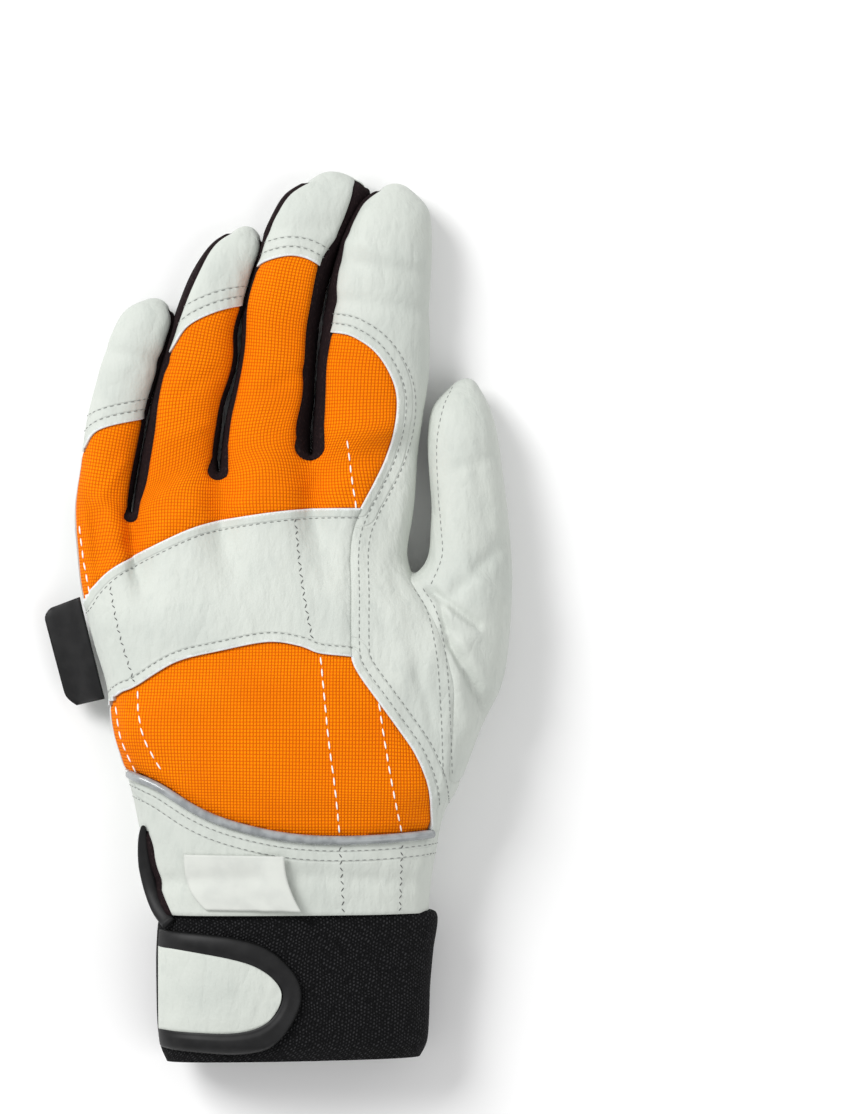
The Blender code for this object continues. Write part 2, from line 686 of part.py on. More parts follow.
def wall_solid(name, patch, normals, finish, wall, raise_by=0.0, inset=SEAM_GAP / 2):
    """Closed wall from a patch of faces: outer skin, inner skin and the edge between them."""
    faces = sorted(patch, key=lambda f: f.index)
    inside = set(faces)
    verts = []
    seen = set()
    for face in faces:
        for vert in face.verts:
            if vert not in seen:
                seen.add(vert)
                verts.append(vert)
    shift = {v: Vector() for v in verts}
    rim = []
    for face in faces:
        for loop in face.loops:
            linked = [f for f in loop.edge.link_faces if f in inside]
            if len(linked) > 1:
                continue
            a, b = loop.vert, loop.link_loop_next.vert
            rim.append((a, b))
            inward = face.normal.cross(b.co - a.co).normalized()
            shift[a] += inward
            shift[b] += inward
    out = bmesh.new()
    outer, inner = {}, {}
    for vert in verts:
        move = shift[vert]
        if move.length > 1e-6:
            move = move.normalized() * (inset * min(MITRE_MOST, 2.0 / max(MITRE_LEAST, move.length)))
        base = vert.co + move
        normal = normals[vert]
        high, low = base + normal * raise_by, base + normal * (raise_by - wall)
        outer[vert] = out.verts.new(high)
        inner[vert] = out.verts.new(low)
    for face in faces:
        out.faces.new([outer[v] for v in face.verts])
        out.faces.new([inner[v] for v in reversed(face.verts)])
    for a, b in rim:
        if a.index < b.index:
            out.faces.new([outer[b], outer[a], inner[b]])
            out.faces.new([outer[a], inner[a], inner[b]])
        else:
            out.faces.new([outer[b], outer[a], inner[a]])
            out.faces.new([outer[b], inner[a], inner[b]])
    bmesh.ops.recalc_face_normals(out, faces=out.faces[:])
    return add_object(name, out, finish)


def patch_grid(rows, closed=False):
    """Mesh of quads over rows of points."""
    mesh = bmesh.new()
    verts = [[mesh.verts.new(p) for p in row] for row in rows]
    for row, other in zip(verts, verts[1:]):
        count = len(row)
        for i in range(count if closed else count - 1):
            j = (i + 1) % count
            mesh.faces.new([row[i], row[j], other[j], other[i]])
    mesh.faces.index_update()
    mesh.verts.index_update()
    mesh.normal_update()
    return mesh


def outward(mesh, up=True):
    """Turn the patch so that its first side faces up or out and give the normals."""
    total = sum(f.normal.z * f.calc_area() for f in mesh.faces)
    if (total < 0) == up:
        bmesh.ops.reverse_faces(mesh, faces=mesh.faces[:])
        mesh.normal_update()
    return {v: v.normal.copy() for v in mesh.verts}


def cuff_point(x, y):
    """Point of the cuff's outer face above a grid position."""
    rows = CUFF
    k = max(i for i in range(len(rows) - 1) if rows[i][1] <= y or i == 0)
    share = min(1.0, max(0.0, (y - rows[k][1]) / (rows[k + 1][1] - rows[k][1])))
    station = [between(a, b, share) for a, b in zip(rows[k], rows[k + 1])]
    value = min(1.0, max(-1.0, 2 * (x - station[0]) / (station[2] - station[0]) - 1))
    point = section(station, math.acos(rounded(value, 4 / CUFF_POWER)), CUFF_POWER)
    return flat(grid_of(point)[0], y, max(0.0, point.z))


def build_cuff():
    """Knit tube that is open at both ends."""
    rows = []
    for station in CUFF:
        row = []
        for i in range(CUFF_AROUND):
            point = section(station, 2 * math.pi * (i + 0.5) / CUFF_AROUND, CUFF_POWER)
            point.z = max(0.0, point.z)
            row.append(point)
        rows.append(row)
    mesh = patch_grid(rows, closed=True)
    top = max(mesh.faces, key=lambda f: f.calc_center_median().z)
    if top.normal.z < 0:
        bmesh.ops.reverse_faces(mesh, faces=mesh.faces[:])
        mesh.normal_update()
    normals = {v: v.normal.copy() for v in mesh.verts}
    wall_solid("cuff", list(mesh.faces), normals, "black_knit", KNIT_WALL, inset=0.0)
    mesh.free()


def build_tab():
    """White closing tab over the cuff and the black binding round it."""
    outer, inner = curve_points(TAB_OUTER, TAB_STEPS), curve_points(TAB_INNER, TAB_STEPS)
    rows = []
    for share in (0.0, 0.5, 1.0):
        rows.append([cuff_point(*(between(a, b, share) for a, b in zip(p, q)))
                     for p, q in zip(outer, inner)])
    mesh = patch_grid(rows)
    wall_solid("closure_binding", list(mesh.faces), outward(mesh), "black_rubber", BINDING_WALL,
               raise_by=LAY_CLEARANCE + BINDING_WALL)
    mesh.free()
    half = len(inner) // 2
    rows = []
    for k in range(half):
        top, foot = inner[k], inner[-1 - k]
        rows.append([cuff_point(*(between(a, b, i / (TAB_ROWS - 1)) for a, b in zip(top, foot)))
                     for i in range(TAB_ROWS)])
    mesh = patch_grid(rows)
    wall_solid("closure_tab", list(mesh.faces), outward(mesh), "leather", TAB_WALL,
               raise_by=LAY_CLEARANCE + TAB_WALL)
    mesh.free()


def drop_on(tree, x, y, high=0.2):
    """Point and normal of the form's back right under a grid position."""
    hit, normal, _, _ = tree.ray_cast(flat(x, y, high), Vector((0, 0, -1)))
    return hit, normal


def build_piping(tree):
    """Round piping in the channel under the padded panel."""
    line = [p for p in curve_points(PANEL_FOOT, 4) if PIPING_ENDS[0] < p[0] < PIPING_ENDS[1]]
    path = []
    for x, y in line:
        hit, normal = drop_on(tree, x, y)
        path.append((hit, normal))
    rows = []
    for k, (point, normal) in enumerate(path):
        ahead = path[min(k + 1, len(path) - 1)][0] - path[max(k - 1, 0)][0]
        across = ahead.cross(normal).normalized()
        up = across.cross(ahead).normalized()
        centre = point - up * (PIPING_SINK * PIPING_RADIUS)
        ring = []
        for i in range(PIPING_SIDES):
            angle = 2 * math.pi * i / PIPING_SIDES
            ring.append(centre + (across * math.cos(angle) + up * math.sin(angle)) * PIPING_RADIUS)
        rows.append(ring)
    mesh = patch_grid(rows, closed=True)
    for end in (0, -1):
        ring = [v for v in mesh.verts if (v.co - rows[end][0]).length < 3 * PIPING_RADIUS]
        corners = [min(ring, key=lambda v, p=p: (v.co - p).length) for p in rows[end]]
        mesh.faces.new(corners)
    bmesh.ops.recalc_face_normals(mesh, faces=mesh.faces[:])
    add_object("piping", mesh, "grey_piping")


def build_care_label(tree):
    a, b, c, d = CARE_LABEL
    rows = []
    columns, lines = CARE_GRID
    for j in range(lines):
        row = []
        for i in range(columns):
            s, t = i / (columns - 1), j / (lines - 1)
            x = between(between(a[0], b[0], s), between(d[0], c[0], s), t)
            y = between(between(a[1], b[1], s), between(d[1], c[1], s), t)
            hit, _ = drop_on(tree, x, y)
            curl = CARE_CURL * MM * smooth((s - CARE_CURL_START) / (1 - CARE_CURL_START))
            curl *= between(0.3, 1.0, t)
            row.append(hit + Vector((0, 0, curl)))
        rows.append(row)
    mesh = patch_grid(rows)
    wall_solid("care_label", list(mesh.faces), outward(mesh), "label_cloth", LABEL_WALL,
               raise_by=2 * LAY_CLEARANCE + LABEL_WALL)
    mesh.free()


def build_side_label():
    a, b, c, d = SIDE_LABEL
    rows = []
    columns, lines = SIDE_GRID
    for j in range(lines):
        row = []
        t = j / (lines - 1)
        for i in range(columns):
            s = i / (columns - 1)
            left = (between(a[0], d[0], t), between(a[1], d[1], t))
            right = (between(b[0], c[0], t), between(b[1], c[1], t))
            near = max(0.0, 1 - min(t, 1 - t) / SIDE_CORNER_SHARE)
            pull = SIDE_CORNER * near ** 2 * (1 - s)
            x = between(left[0], right[0], s) + pull
            y = between(left[1], right[1], s)
            z = between(*SIDE_HEIGHTS, smooth(s)) + SIDE_BOW * math.sin(math.pi * t)
            row.append(flat(x, y, z * MM))
        rows.append(row)
    mesh = patch_grid(rows)
    wall_solid("side_label", list(mesh.faces), outward(mesh), "black_rubber", SIDE_WALL)
    mesh.free()


FINISHES = {
    "tip_little": ("leather", LEATHER_WALL, 0.0),
    "tip_ring": ("leather", LEATHER_WALL, 0.0),
    "tip_middle": ("leather", LEATHER_WALL, 0.0),
    "index_leather": ("leather", LEATHER_WALL, 0.0),
    "back_knuckles": ("orange_weave", WEAVE_WALL, 0.0),
    "back_hand": ("orange_weave", PAD_WALL, 0.0),
    "knuckle_strap": ("leather", STRAP_WALL, STRAP_RAISE),
    "wrist_leather": ("leather", LEATHER_WALL, 0.0),
    "palm_leather": ("leather", LEATHER_WALL, 0.0),
    "thumb_leather": ("leather", LEATHER_WALL, 0.0),
    "fourchette_little": ("black_fabric", FABRIC_WALL, 0.0),
    "fourchette_middle": ("black_fabric", FABRIC_WALL, 0.0),
    "fourchette_index": ("black_fabric", FABRIC_WALL, 0.0),
    "slit_binding": ("black_fabric", FABRIC_WALL, 0.0),
}


def pad_height(point, seams):
    """Puff of the padded panel, fading out towards its seams."""
    x, _ = grid_of(point)
    edge = min(-seams["foot"](point) - PIPING_CHANNEL, seams["strap_foot"](point), seams["side"](point),
               x - PAD_SIDE)
    return PAD_HEIGHT * MM * smooth(edge / PAD_FADE)


def main():
    for obj in list(bpy.data.objects):
        bpy.data.objects.remove(obj)
    mesh, layer, tags = build_form()
    tree = BVHTree.FromBMesh(mesh)
    pieces, seams = cut_seams(mesh, layer, tags)
    mesh.faces.index_update()
    mesh.verts.index_update()
    for vert in mesh.verts:
        own = {pieces[f] for f in vert.link_faces}
        if own == {"back_hand"}:
            vert.co += vert.normal * pad_height(vert.co, seams)
    mesh.normal_update()
    normals = {v: v.normal.copy() for v in mesh.verts}
    for name, (finish, wall, raise_by) in FINISHES.items():
        patch = [f for f in mesh.faces if pieces[f] == name]
        inset = FOURCHETTE_INSET if name.startswith("fourchette") else SEAM_GAP / 2
        wall_solid(name, patch, normals, finish, wall, raise_by, inset)
    build_piping(tree)
    build_care_label(tree)
    mesh.free()
    build_side_label()
    build_cuff()
    build_tab()


main()
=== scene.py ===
"""Looks of a left-hand chainsaw glove that lies palm down, in the frame of its CAD solids.

The hand is one smooth form: rings of points round palm, fingers and thumb, drawn on a flat grid
seen from above (x to the thumb side, y from fingertips to hem). The cage is fitted so that its
subdivided surface passes through the points, seam curves cut the form into panels, and each panel
becomes a wall with its own thickness, edges, relief and finish. Sewing is made by geometry nodes.
"""

import logging
import math
from collections.abc import Callable, Iterable, Sequence
from dataclasses import dataclass, field
from enum import Enum

import bmesh
import bpy
import numpy as np
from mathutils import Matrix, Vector, noise
from mathutils.bvhtree import BVHTree
from mathutils.kdtree import KDTree


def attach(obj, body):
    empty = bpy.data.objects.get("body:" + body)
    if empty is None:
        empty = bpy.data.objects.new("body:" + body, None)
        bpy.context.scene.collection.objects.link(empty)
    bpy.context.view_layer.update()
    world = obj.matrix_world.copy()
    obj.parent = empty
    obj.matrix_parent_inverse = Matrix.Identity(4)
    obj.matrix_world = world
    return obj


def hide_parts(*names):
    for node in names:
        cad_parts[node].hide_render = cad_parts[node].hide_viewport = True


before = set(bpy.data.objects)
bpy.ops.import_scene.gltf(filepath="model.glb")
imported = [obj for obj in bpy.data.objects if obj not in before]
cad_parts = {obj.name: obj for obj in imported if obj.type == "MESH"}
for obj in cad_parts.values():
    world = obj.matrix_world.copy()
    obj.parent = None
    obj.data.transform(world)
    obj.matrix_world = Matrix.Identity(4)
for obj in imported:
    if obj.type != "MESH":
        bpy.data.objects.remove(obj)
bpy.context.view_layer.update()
LOG = logging.getLogger("glove")

Piece = bpy.types.Object
Material = bpy.types.Material
Socket = bpy.types.NodeSocket
Region = tuple[str, str, int]
Colour = tuple[float, float, float, float]

MM = 0.001
GLOVE_LENGTH = 0.270
GRID_LENGTH = 890.0
UNIT = GLOVE_LENGTH / GRID_LENGTH
GRID_CENTRE = (277.954, 614.718)
GRID_MM = UNIT / MM
PHOTO_CENTRE = (432.5, 557.0)
PHOTO_HEIGHT = 1114.0

FINGER_COLUMNS = 4
PALM_COLUMNS = 16
SNAP_SHARE = 0.3
PIPING_CHANNEL = 3.6
PIPING_RADIUS = 1.3 * MM
PAD_HEIGHT = 1.8
FINE_LEVELS = 3
FITTING_PASSES = 4

# squareness of the oval sections; 2 is an ellipse
FINGER_POWER = 2.25
THUMB_POWER = 2.2
CUFF_POWER = 2.4
# points round a finger and angles of its section where the palm leather starts and ends
RING_POINTS = 2 * FINGER_COLUMNS + 4
PALM_START = math.radians(-32)
PALM_END = math.radians(-148)
# left limit and slope of the padded back in grid units, and the small wrinkles: depth in mm and scale
PAD_LEFT = 105
PAD_SLOPE = 45
WRINKLE_DEPTH = 0.32
WRINKLE_SCALE = 42.0
# how a wall ends, in mm: its inner side set in, its rounded rim lower and further out
INNER_INSET = 0.1
RIM_DROP = 0.28
RIM_SWELL = 0.16
# distance to a raw edge in mm where there is none, and the most on the knuckle strap
NO_EDGE = 50.0
STRAP_EDGE = 4.0
# heights in metres over and under the whole glove
OVER_ALL = 0.2
UNDER_ALL = -0.1
# grid limits of the slit, its binding, the piping and its channel
SLIT_ROW = 9
SLIT_RIGHT = 230
BINDING_TOP = 829
BINDING_RIGHT = 200
PIPING_LEFT = 132
PIPING_RIGHT = 432
CHANNEL_RIGHT = 434


# left x, left y, right x, right y, seam share left, seam share right, depth mm, lift mm
LITTLE = (
    (76, 492, 132, 497, 0.05, 0.95, 18.5, -0.5),
    (80, 462, 136, 470, 0.05, 0.95, 17.8, -0.6),
    (83, 432, 141, 442, 0.05, 0.96, 17.2, -0.6),
    (89, 402, 146, 414, 0.05, 0.96, 16.8, -0.5),
    (96, 375, 153, 388, 0.05, 0.96, 16.4, -0.3),
    (104, 349, 161, 362, 0.05, 0.96, 16.0, 0.0),
    (113, 326, 169, 338, 0.06, 0.95, 15.0, 0.4),
    (124, 309, 174, 320, 0.07, 0.94, 13.2, 1.0),
    (137, 301, 170, 308, 0.10, 0.92, 9.5, 2.6),
)
RING = (
    (134, 492, 218, 457, 0.12, 0.95, 21.0, -0.8),
    (139, 462, 220, 434, 0.13, 0.95, 20.4, -0.9),
    (145, 432, 222, 414, 0.12, 0.96, 20.0, -0.9),
    (151, 402, 226, 397, 0.09, 0.96, 19.6, -0.8),
    (158, 374, 233, 377, 0.07, 0.96, 19.2, -0.6),
    (165, 346, 237, 355, 0.08, 0.96, 18.9, -0.3),
    (172, 320, 237, 333, 0.10, 0.96, 18.5, 0.0),
    (180, 295, 243, 310, 0.11, 0.96, 17.8, 0.3),
    (190, 272, 250, 288, 0.12, 0.96, 16.8, 0.6),
    (202, 252, 257, 267, 0.10, 0.95, 15.2, 1.0),
    (215, 238, 263, 250, 0.09, 0.94, 13.0, 1.7),
    (229, 230, 262, 238, 0.10, 0.92, 9.5, 3.0),
)
MIDDLE = (
    (220, 452, 310, 437, 0.06, 0.86, 22.5, -1.0),
    (224, 423, 311, 416, 0.06, 0.86, 22.0, -1.1),
    (230, 397, 313, 396, 0.06, 0.88, 21.4, -1.1),
    (236, 371, 314, 374, 0.05, 0.88, 20.8, -0.9),
    (240, 345, 316, 352, 0.05, 0.87, 20.4, -0.7),
    (241, 319, 318, 330, 0.05, 0.87, 20.0, -0.4),
    (244, 296, 322, 308, 0.05, 0.87, 19.7, 0.0),
    (250, 274, 327, 286, 0.05, 0.85, 19.3, 0.3),
    (257, 252, 334, 265, 0.05, 0.83, 18.7, 0.6),
    (264, 230, 341, 244, 0.05, 0.90, 17.8, 0.9),
    (274, 209, 354, 220, 0.06, 0.88, 16.3, 1.2),
    (287, 191, 369, 197, 0.06, 0.79, 13.8, 1.8),
    (305, 180, 365, 184, 0.08, 0.80, 9.8, 3.2),
)
INDEX = (
    (312, 437, 421, 428, 0.09, 0.96, 24.5, -1.0),
    (314, 412, 424, 408, 0.09, 0.96, 24.0, -1.1),
    (316, 388, 427, 388, 0.08, 0.96, 23.6, -1.1),
    (317, 364, 429, 368, 0.08, 0.96, 23.2, -0.9),
    (320, 340, 430, 347, 0.09, 0.96, 22.8, -0.6),
    (323, 316, 430, 325, 0.09, 0.96, 22.4, -0.3),
    (327, 292, 430, 303, 0.08, 0.96, 22.0, 0.0),
    (332, 270, 431, 281, 0.06, 0.96, 21.4, 0.3),
    (338, 249, 432, 259, 0.05, 0.96, 20.6, 0.6),
    (345, 229, 432, 238, 0.05, 0.96, 19.4, 0.9),
    (353, 211, 431, 218, 0.06, 0.95, 17.4, 1.2),
    (362, 198, 426, 204, 0.08, 0.94, 14.4, 1.8),
    (378, 188, 415, 192, 0.10, 0.92, 10.0, 3.2),
)
THUMB = (
    (422, 560, 486, 729, 0.08, 0.92, 32.0, -1.0),
    (427, 545, 501, 686, 0.07, 0.93, 31.0, -1.2),
    (431, 528, 509, 642, 0.07, 0.94, 29.5, -1.2),
    (432, 510, 512, 598, 0.07, 0.94, 27.5, -0.9),
    (431, 490, 512, 556, 0.07, 0.94, 25.5, -0.5),
    (429, 467, 508, 510, 0.07, 0.94, 24.0, 0.0),
    (428, 445, 503, 470, 0.07, 0.94, 22.6, 0.4),
    (429, 424, 498, 436, 0.07, 0.94, 20.8, 0.8),
    (434, 405, 491, 409, 0.08, 0.93, 17.6, 1.4),
    (446, 391, 482, 392, 0.10, 0.92, 12.0, 2.8),
)
TIPS = {
    "little": (157, 296), "ring": (249, 223), "middle": (334, 168), "index": (397, 181),
    "thumb": (467, 378),
}
FINGERS = (("little", LITTLE), ("ring", RING), ("middle", MIDDLE), ("index", INDEX))

# left x, left y, right x, right y, last column share, depth mm, lift mm
PALM = (
    (74, 517, 419, 452, 0.970, 25.0, -1.2),
    (77, 548, 416, 486, 0.970, 27.0, -1.4),
    (80, 578, 413, 520, 0.965, 29.0, -1.5),
    (85, 606, 412, 552, 0.960, 31.0, -1.5),
    (91, 632, 418, 580, 0.950, 33.0, -1.5),
    (99, 660, 458, 606, 0.945, 34.5, -1.5),
    (108, 692, 475, 652, 0.940, 36.0, -1.5),
    (113, 727, 480, 712, 0.940, 37.0, -1.5),
    (124, 765, 462, 780, 0.960, 37.5, -1.5),
    (133, 796, 447, 808, 0.970, 37.5, -1.5),
    (139, 826, 440, 834, 0.970, 37.0, -1.5),
    (146, 854, 435, 859, 0.970, 36.5, -1.4),
    (152, 882, 431, 884, 0.970, 36.0, -1.3),
    (158, 913, 429, 911, 0.970, 35.5, -1.2),
)
THUMB_ROWS = (4, 8)
WEB_SHARES = (0.162, 0.419, 0.688)
FIRST_SHARE = 0.03
EDGE_ARC = 0.13
ROW_LIFT = (0, -2, 12, -6, -13, -16, -11, -8, 0)
# rows over which the roots of the fingers and the valleys between them run out
ROOT_ROWS = 6
WEB_ROWS = 4
THUMB_FULLNESS = 2.2
WEB_TOP = 0.45
WEB_UNDER = 0.65

# centre on the grid, reach and passes: places where the rings of two parts run into one another
SOFTEN = (
    ((418, 584), 46, 3),
    ((446, 640), 46, 2),
    ((456, 720), 50, 2),
    ((129, 519), 22, 1),
    ((218, 479), 22, 1),
    ((311, 462), 22, 1),
)

# left x, left y, right x, right y, depth mm, lift mm
CUFF = (
    (165, 880, 422, 881, 29.4, 1.8),
    (166, 908, 421, 906, 29.0, 1.7),
    (159, 918, 437, 914, 33.6, -0.8),
    (156, 950, 433, 950, 33.0, -1.0),
    (156, 985, 430, 985, 32.6, -1.0),
    (157, 1020, 429, 1018, 32.0, -1.0),
    (160, 1044, 427, 1041, 31.0, -0.8),
    (167, 1061, 420, 1056, 27.0, 0.6),
)

# x, y, x, y, width, height mm: soft dents (under zero) and folds on the back of the hand
FOLDS = (
    (431, 590, 478, 626, 4, -1.9),
    (441, 606, 476, 634, 7, 1.0),
    (441, 605, 446, 630, 4, -1.8),
    (449, 640, 463, 664, 4, -2.0),
    (467, 672, 486, 714, 4, -2.0),
    (464, 644, 490, 690, 8, 1.2),
    (456, 680, 468, 728, 7, 0.8),
    (418, 672, 433, 721, 5, -0.9),
    (450, 595, 508, 540, 7, -1.1),
    (129, 530, 136, 556, 9, 0.5),
    (220, 488, 226, 528, 9, 0.5),
    (312, 470, 320, 516, 9, 0.5),
    (455, 470, 505, 452, 6, -0.5),
    (470, 575, 506, 600, 7, 0.9),
    (398, 610, 404, 680, 10, 0.7),
    (345, 262, 424, 274, 7, -0.5),
    (250, 232, 330, 226, 8, -0.4),
    (100, 500, 124, 462, 6, 0.5),
    (146, 540, 196, 505, 8, 0.5),
    (170, 440, 208, 424, 7, 0.45),
    (232, 505, 300, 488, 8, 0.5),
    (262, 392, 304, 372, 7, -0.45),
    (330, 492, 372, 470, 8, 0.5),
    (180, 395, 216, 372, 7, -0.4),
    (96, 560, 150, 530, 9, -0.5),
    (332, 238, 420, 262, 7, 0.4),
    (352, 236, 366, 296, 6, -0.35),
    (396, 560, 408, 640, 9, -0.5),
    (478, 470, 492, 540, 8, -0.6),
    (424, 690, 446, 600, 8, 0.6),
    (470, 720, 450, 790, 8, 0.5),
    (150, 880, 260, 874, 9, -0.8),
    (300, 872, 420, 880, 9, -0.8),
    (100, 350, 166, 362, 8, -0.7),
    (330, 300, 430, 312, 9, -0.7),
)

# where the middle fingertip's leather meets the dark panel
TIP_SIDE = ((352.0, 188.0), (354.5, 180.0), (355.0, 172.0))

# x, y, x, y, width, depth mm: creases of the palm side
CREASES = (
    (86, 430, 140, 440, 5, -0.8),
    (104, 360, 160, 372, 5, -0.7),
    (146, 420, 222, 405, 5, -0.8),
    (168, 335, 238, 345, 5, -0.7),
    (232, 385, 312, 380, 5, -0.9),
    (252, 270, 330, 282, 5, -0.7),
    (318, 360, 428, 358, 5, -0.9),
    (336, 268, 430, 272, 5, -0.7),
    (430, 480, 508, 500, 5, -0.9),
    (150, 862, 430, 868, 7, -0.8),
    (215, 720, 262, 610, 8, -0.9),
    (262, 610, 400, 540, 8, -0.9),
    (390, 600, 372, 760, 8, -0.9),
)

CAP_LITTLE = ((60, 476), (82, 451), (98, 430), (144, 418), (170, 412))
CAP_RING = ((150, 368), (170, 351), (187, 327), (213, 313), (242, 305), (262, 304))
CAP_MIDDLE = ((232, 286), (250, 272), (264, 262), (287, 256), (305, 258), (322, 267), (342, 280))
SIDE_SEAM = (
    (316, 331), (336, 333), (353, 337), (374, 351), (389, 372), (397, 397), (395, 428), (386, 458),
    (374, 484), (362, 507), (353, 530), (350, 556), (351, 590), (351, 625), (352, 654), (359, 672),
    (379, 700), (400, 729), (416, 753), (428, 783), (431, 812), (432, 850),
)
STRAP_TOP = (
    (72, 612), (84, 603), (95, 587), (116, 568), (154, 547), (202, 526), (253, 516), (306, 510),
    (355, 509), (372, 509),
)
STRAP_FOOT = (
    (98, 713), (111, 703), (122, 692), (138, 685), (178, 661), (221, 650), (269, 641), (301, 645),
    (320, 652), (349, 655), (370, 657),
)
PANEL_FOOT = (
    (112, 761), (130, 772), (161, 785), (199, 808), (234, 822), (282, 833), (328, 837), (381, 836),
    (431, 832), (452, 829),
)
SLIT_EDGE = ((138, 812), (147, 827), (154, 845), (157, 870), (164, 893), (177, 920))

# both sides of the binding round the tab, from its upper end to its lower one
TAB_OUTER = (
    (160, 928), (166, 928), (178, 929), (207, 931), (238, 935), (265, 943), (285, 957), (299, 975),
    (303, 991), (299, 1009), (286, 1031), (267, 1046), (238, 1051), (207, 1050), (178, 1048),
    (165, 1046), (159, 1045),
)
TAB_INNER = (
    (159, 946), (165, 947), (176, 948), (202, 952), (230, 957), (252, 963), (268, 971), (279, 981),
    (283, 991), (280, 1003), (270, 1016), (254, 1024), (232, 1028), (206, 1028), (178, 1027),
    (165, 1026), (159, 1026),
)
# along the rolled edge of the slit
SLIT_TAPE = ((145, 824), (144, 838), (145, 856), (148, 874), (153, 892), (160, 908), (170, 921))
# corners of the labels
CARE_LABEL = ((186, 852), (286, 853), (303, 908), (208, 907))
SIDE_LABEL = ((40, 608), (79, 597), (104, 699), (66, 706))

# rows of white thread over the orange panels
THREAD_LINES = (
    ((348, 445), (352, 478), (356, 505)),
    ((80, 530), (84, 560), (90, 590)),
    ((322, 660), (326, 700), (330, 740), (336, 785), (340, 826)),
    ((380, 706), (386, 745), (393, 785), (401, 826)),
    ((140, 694), (141, 712), (147, 738), (161, 764)),
    ((118, 710), (123, 738), (136, 768)),
)
# rows of dark zigzag sewing over the white leather
ZIGZAG_LINES = (
    ((296, 521), (300, 560), (306, 601), (313, 636)),
    ((112, 588), (117, 615), (124, 643), (136, 680)),
    ((341, 846), (343, 880), (344, 907)),
    ((402, 845), (401, 880), (400, 907)),
)
# rows of grey thread round the thumb: along its edge, at its base and on the palm side
THUMB_EDGE = ((452, 388), (443, 409), (437, 443), (438, 488), (441, 527), (442, 556), (432, 582))
THUMB_BASE = ((424, 590), (437, 613), (446, 658), (450, 715), (452, 770))
THUMB_PALM = ((422, 592), (404, 622), (396, 660), (396, 705), (406, 748), (426, 782))


class Slot(Enum):
    """Material slots of the record."""

    LEATHER = "leather"
    ORANGE = "orange_weave"
    FABRIC = "black_fabric"
    KNIT = "black_knit"
    RUBBER = "black_rubber"
    PIPING = "grey_piping"
    LABEL = "label_cloth"


def flat(x: float, y: float, z: float = 0.0) -> Vector:
    """Turn a grid position into metres."""
    return Vector(((x - GRID_CENTRE[0]) * UNIT, (GRID_CENTRE[1] - y) * UNIT, z))


def grid_of(point: Sequence[float]) -> tuple[float, float]:
    """Turn metres back into a grid position."""
    return point[0] / UNIT + GRID_CENTRE[0], GRID_CENTRE[1] - point[1] / UNIT


def nearest(px: np.ndarray, py: np.ndarray, start: Sequence[float],
            end: Sequence[float]) -> tuple[np.ndarray, np.ndarray]:
    """Nearest place on a straight run for each of many grid points.

    Args:
        px: Grid x of the points.
        py: Grid y of the points.
        start: Where the run starts.
        end: Where it ends.

    Returns:
        Share of the run at which the place lies, and its distance.
    """
    dx, dy = end[0] - start[0], end[1] - start[1]
    share = np.clip(((px - start[0]) * dx + (py - start[1]) * dy) / (dx * dx + dy * dy), 0, 1)
    return share, np.hypot(px - start[0] - dx * share, py - start[1] - dy * share)


def smooth(share: float) -> float:
    """Soft step."""
    share = min(1.0, max(0.0, share))
    return share * share * (3.0 - 2.0 * share)


def between(a: float, b: float, share: float) -> float:
    """Mix two numbers."""
    return a + (b - a) * share


def curve_points(points: Sequence[Sequence[float]], steps: int = 6) -> list[tuple[float, ...]]:
    """Sample the smooth curve through some points.

    Args:
        points: Knots of any dimension.
        steps: Samples to each span.

    Returns:
        The sampled points.
    """
    knots = [points[0], *points, points[-1]]
    out = []
    for p0, p1, p2, p3 in zip(knots, knots[1:], knots[2:], knots[3:]):
        for i in range(steps):
            t = i / steps
            out.append(tuple(
                0.5 * (2 * b + (c - a) * t + (2 * a - 5 * b + 4 * c - d) * t * t
                       + (3 * b - a - 3 * c + d) * t ** 3)
                for a, b, c, d in zip(p0, p1, p2, p3)))
    out.append(tuple(points[-1]))
    return out


def rounded(value: float, power: float) -> float:
    """Raise a cosine or sine for a flattened oval, keeping its sign."""
    return math.copysign(abs(value) ** (2.0 / power), value)


def section(station: Sequence[float], angle: float, power: float) -> Vector:
    """Point of a flattened oval section.

    Args:
        station: Left x, left y, right x, right y, depth in mm and lift in mm.
        angle: 0 is the right side and a quarter turn the top.
        power: Squareness of the oval.

    Returns:
        The point in the row frame.
    """
    lx, ly, rx, ry, depth, lift = station
    share = 0.5 + 0.5 * rounded(math.cos(angle), power)
    half = depth * MM / 2
    z = lift * MM + half + half * rounded(math.sin(angle), power)
    return flat(between(lx, rx, share), between(ly, ry, share), z)


def seam_angle(share: float, power: float) -> float:
    """Angle at which the upper half of a section passes a share of its width."""
    value = 2 * share - 1
    return math.acos(math.copysign(abs(value) ** (power / 2), value))


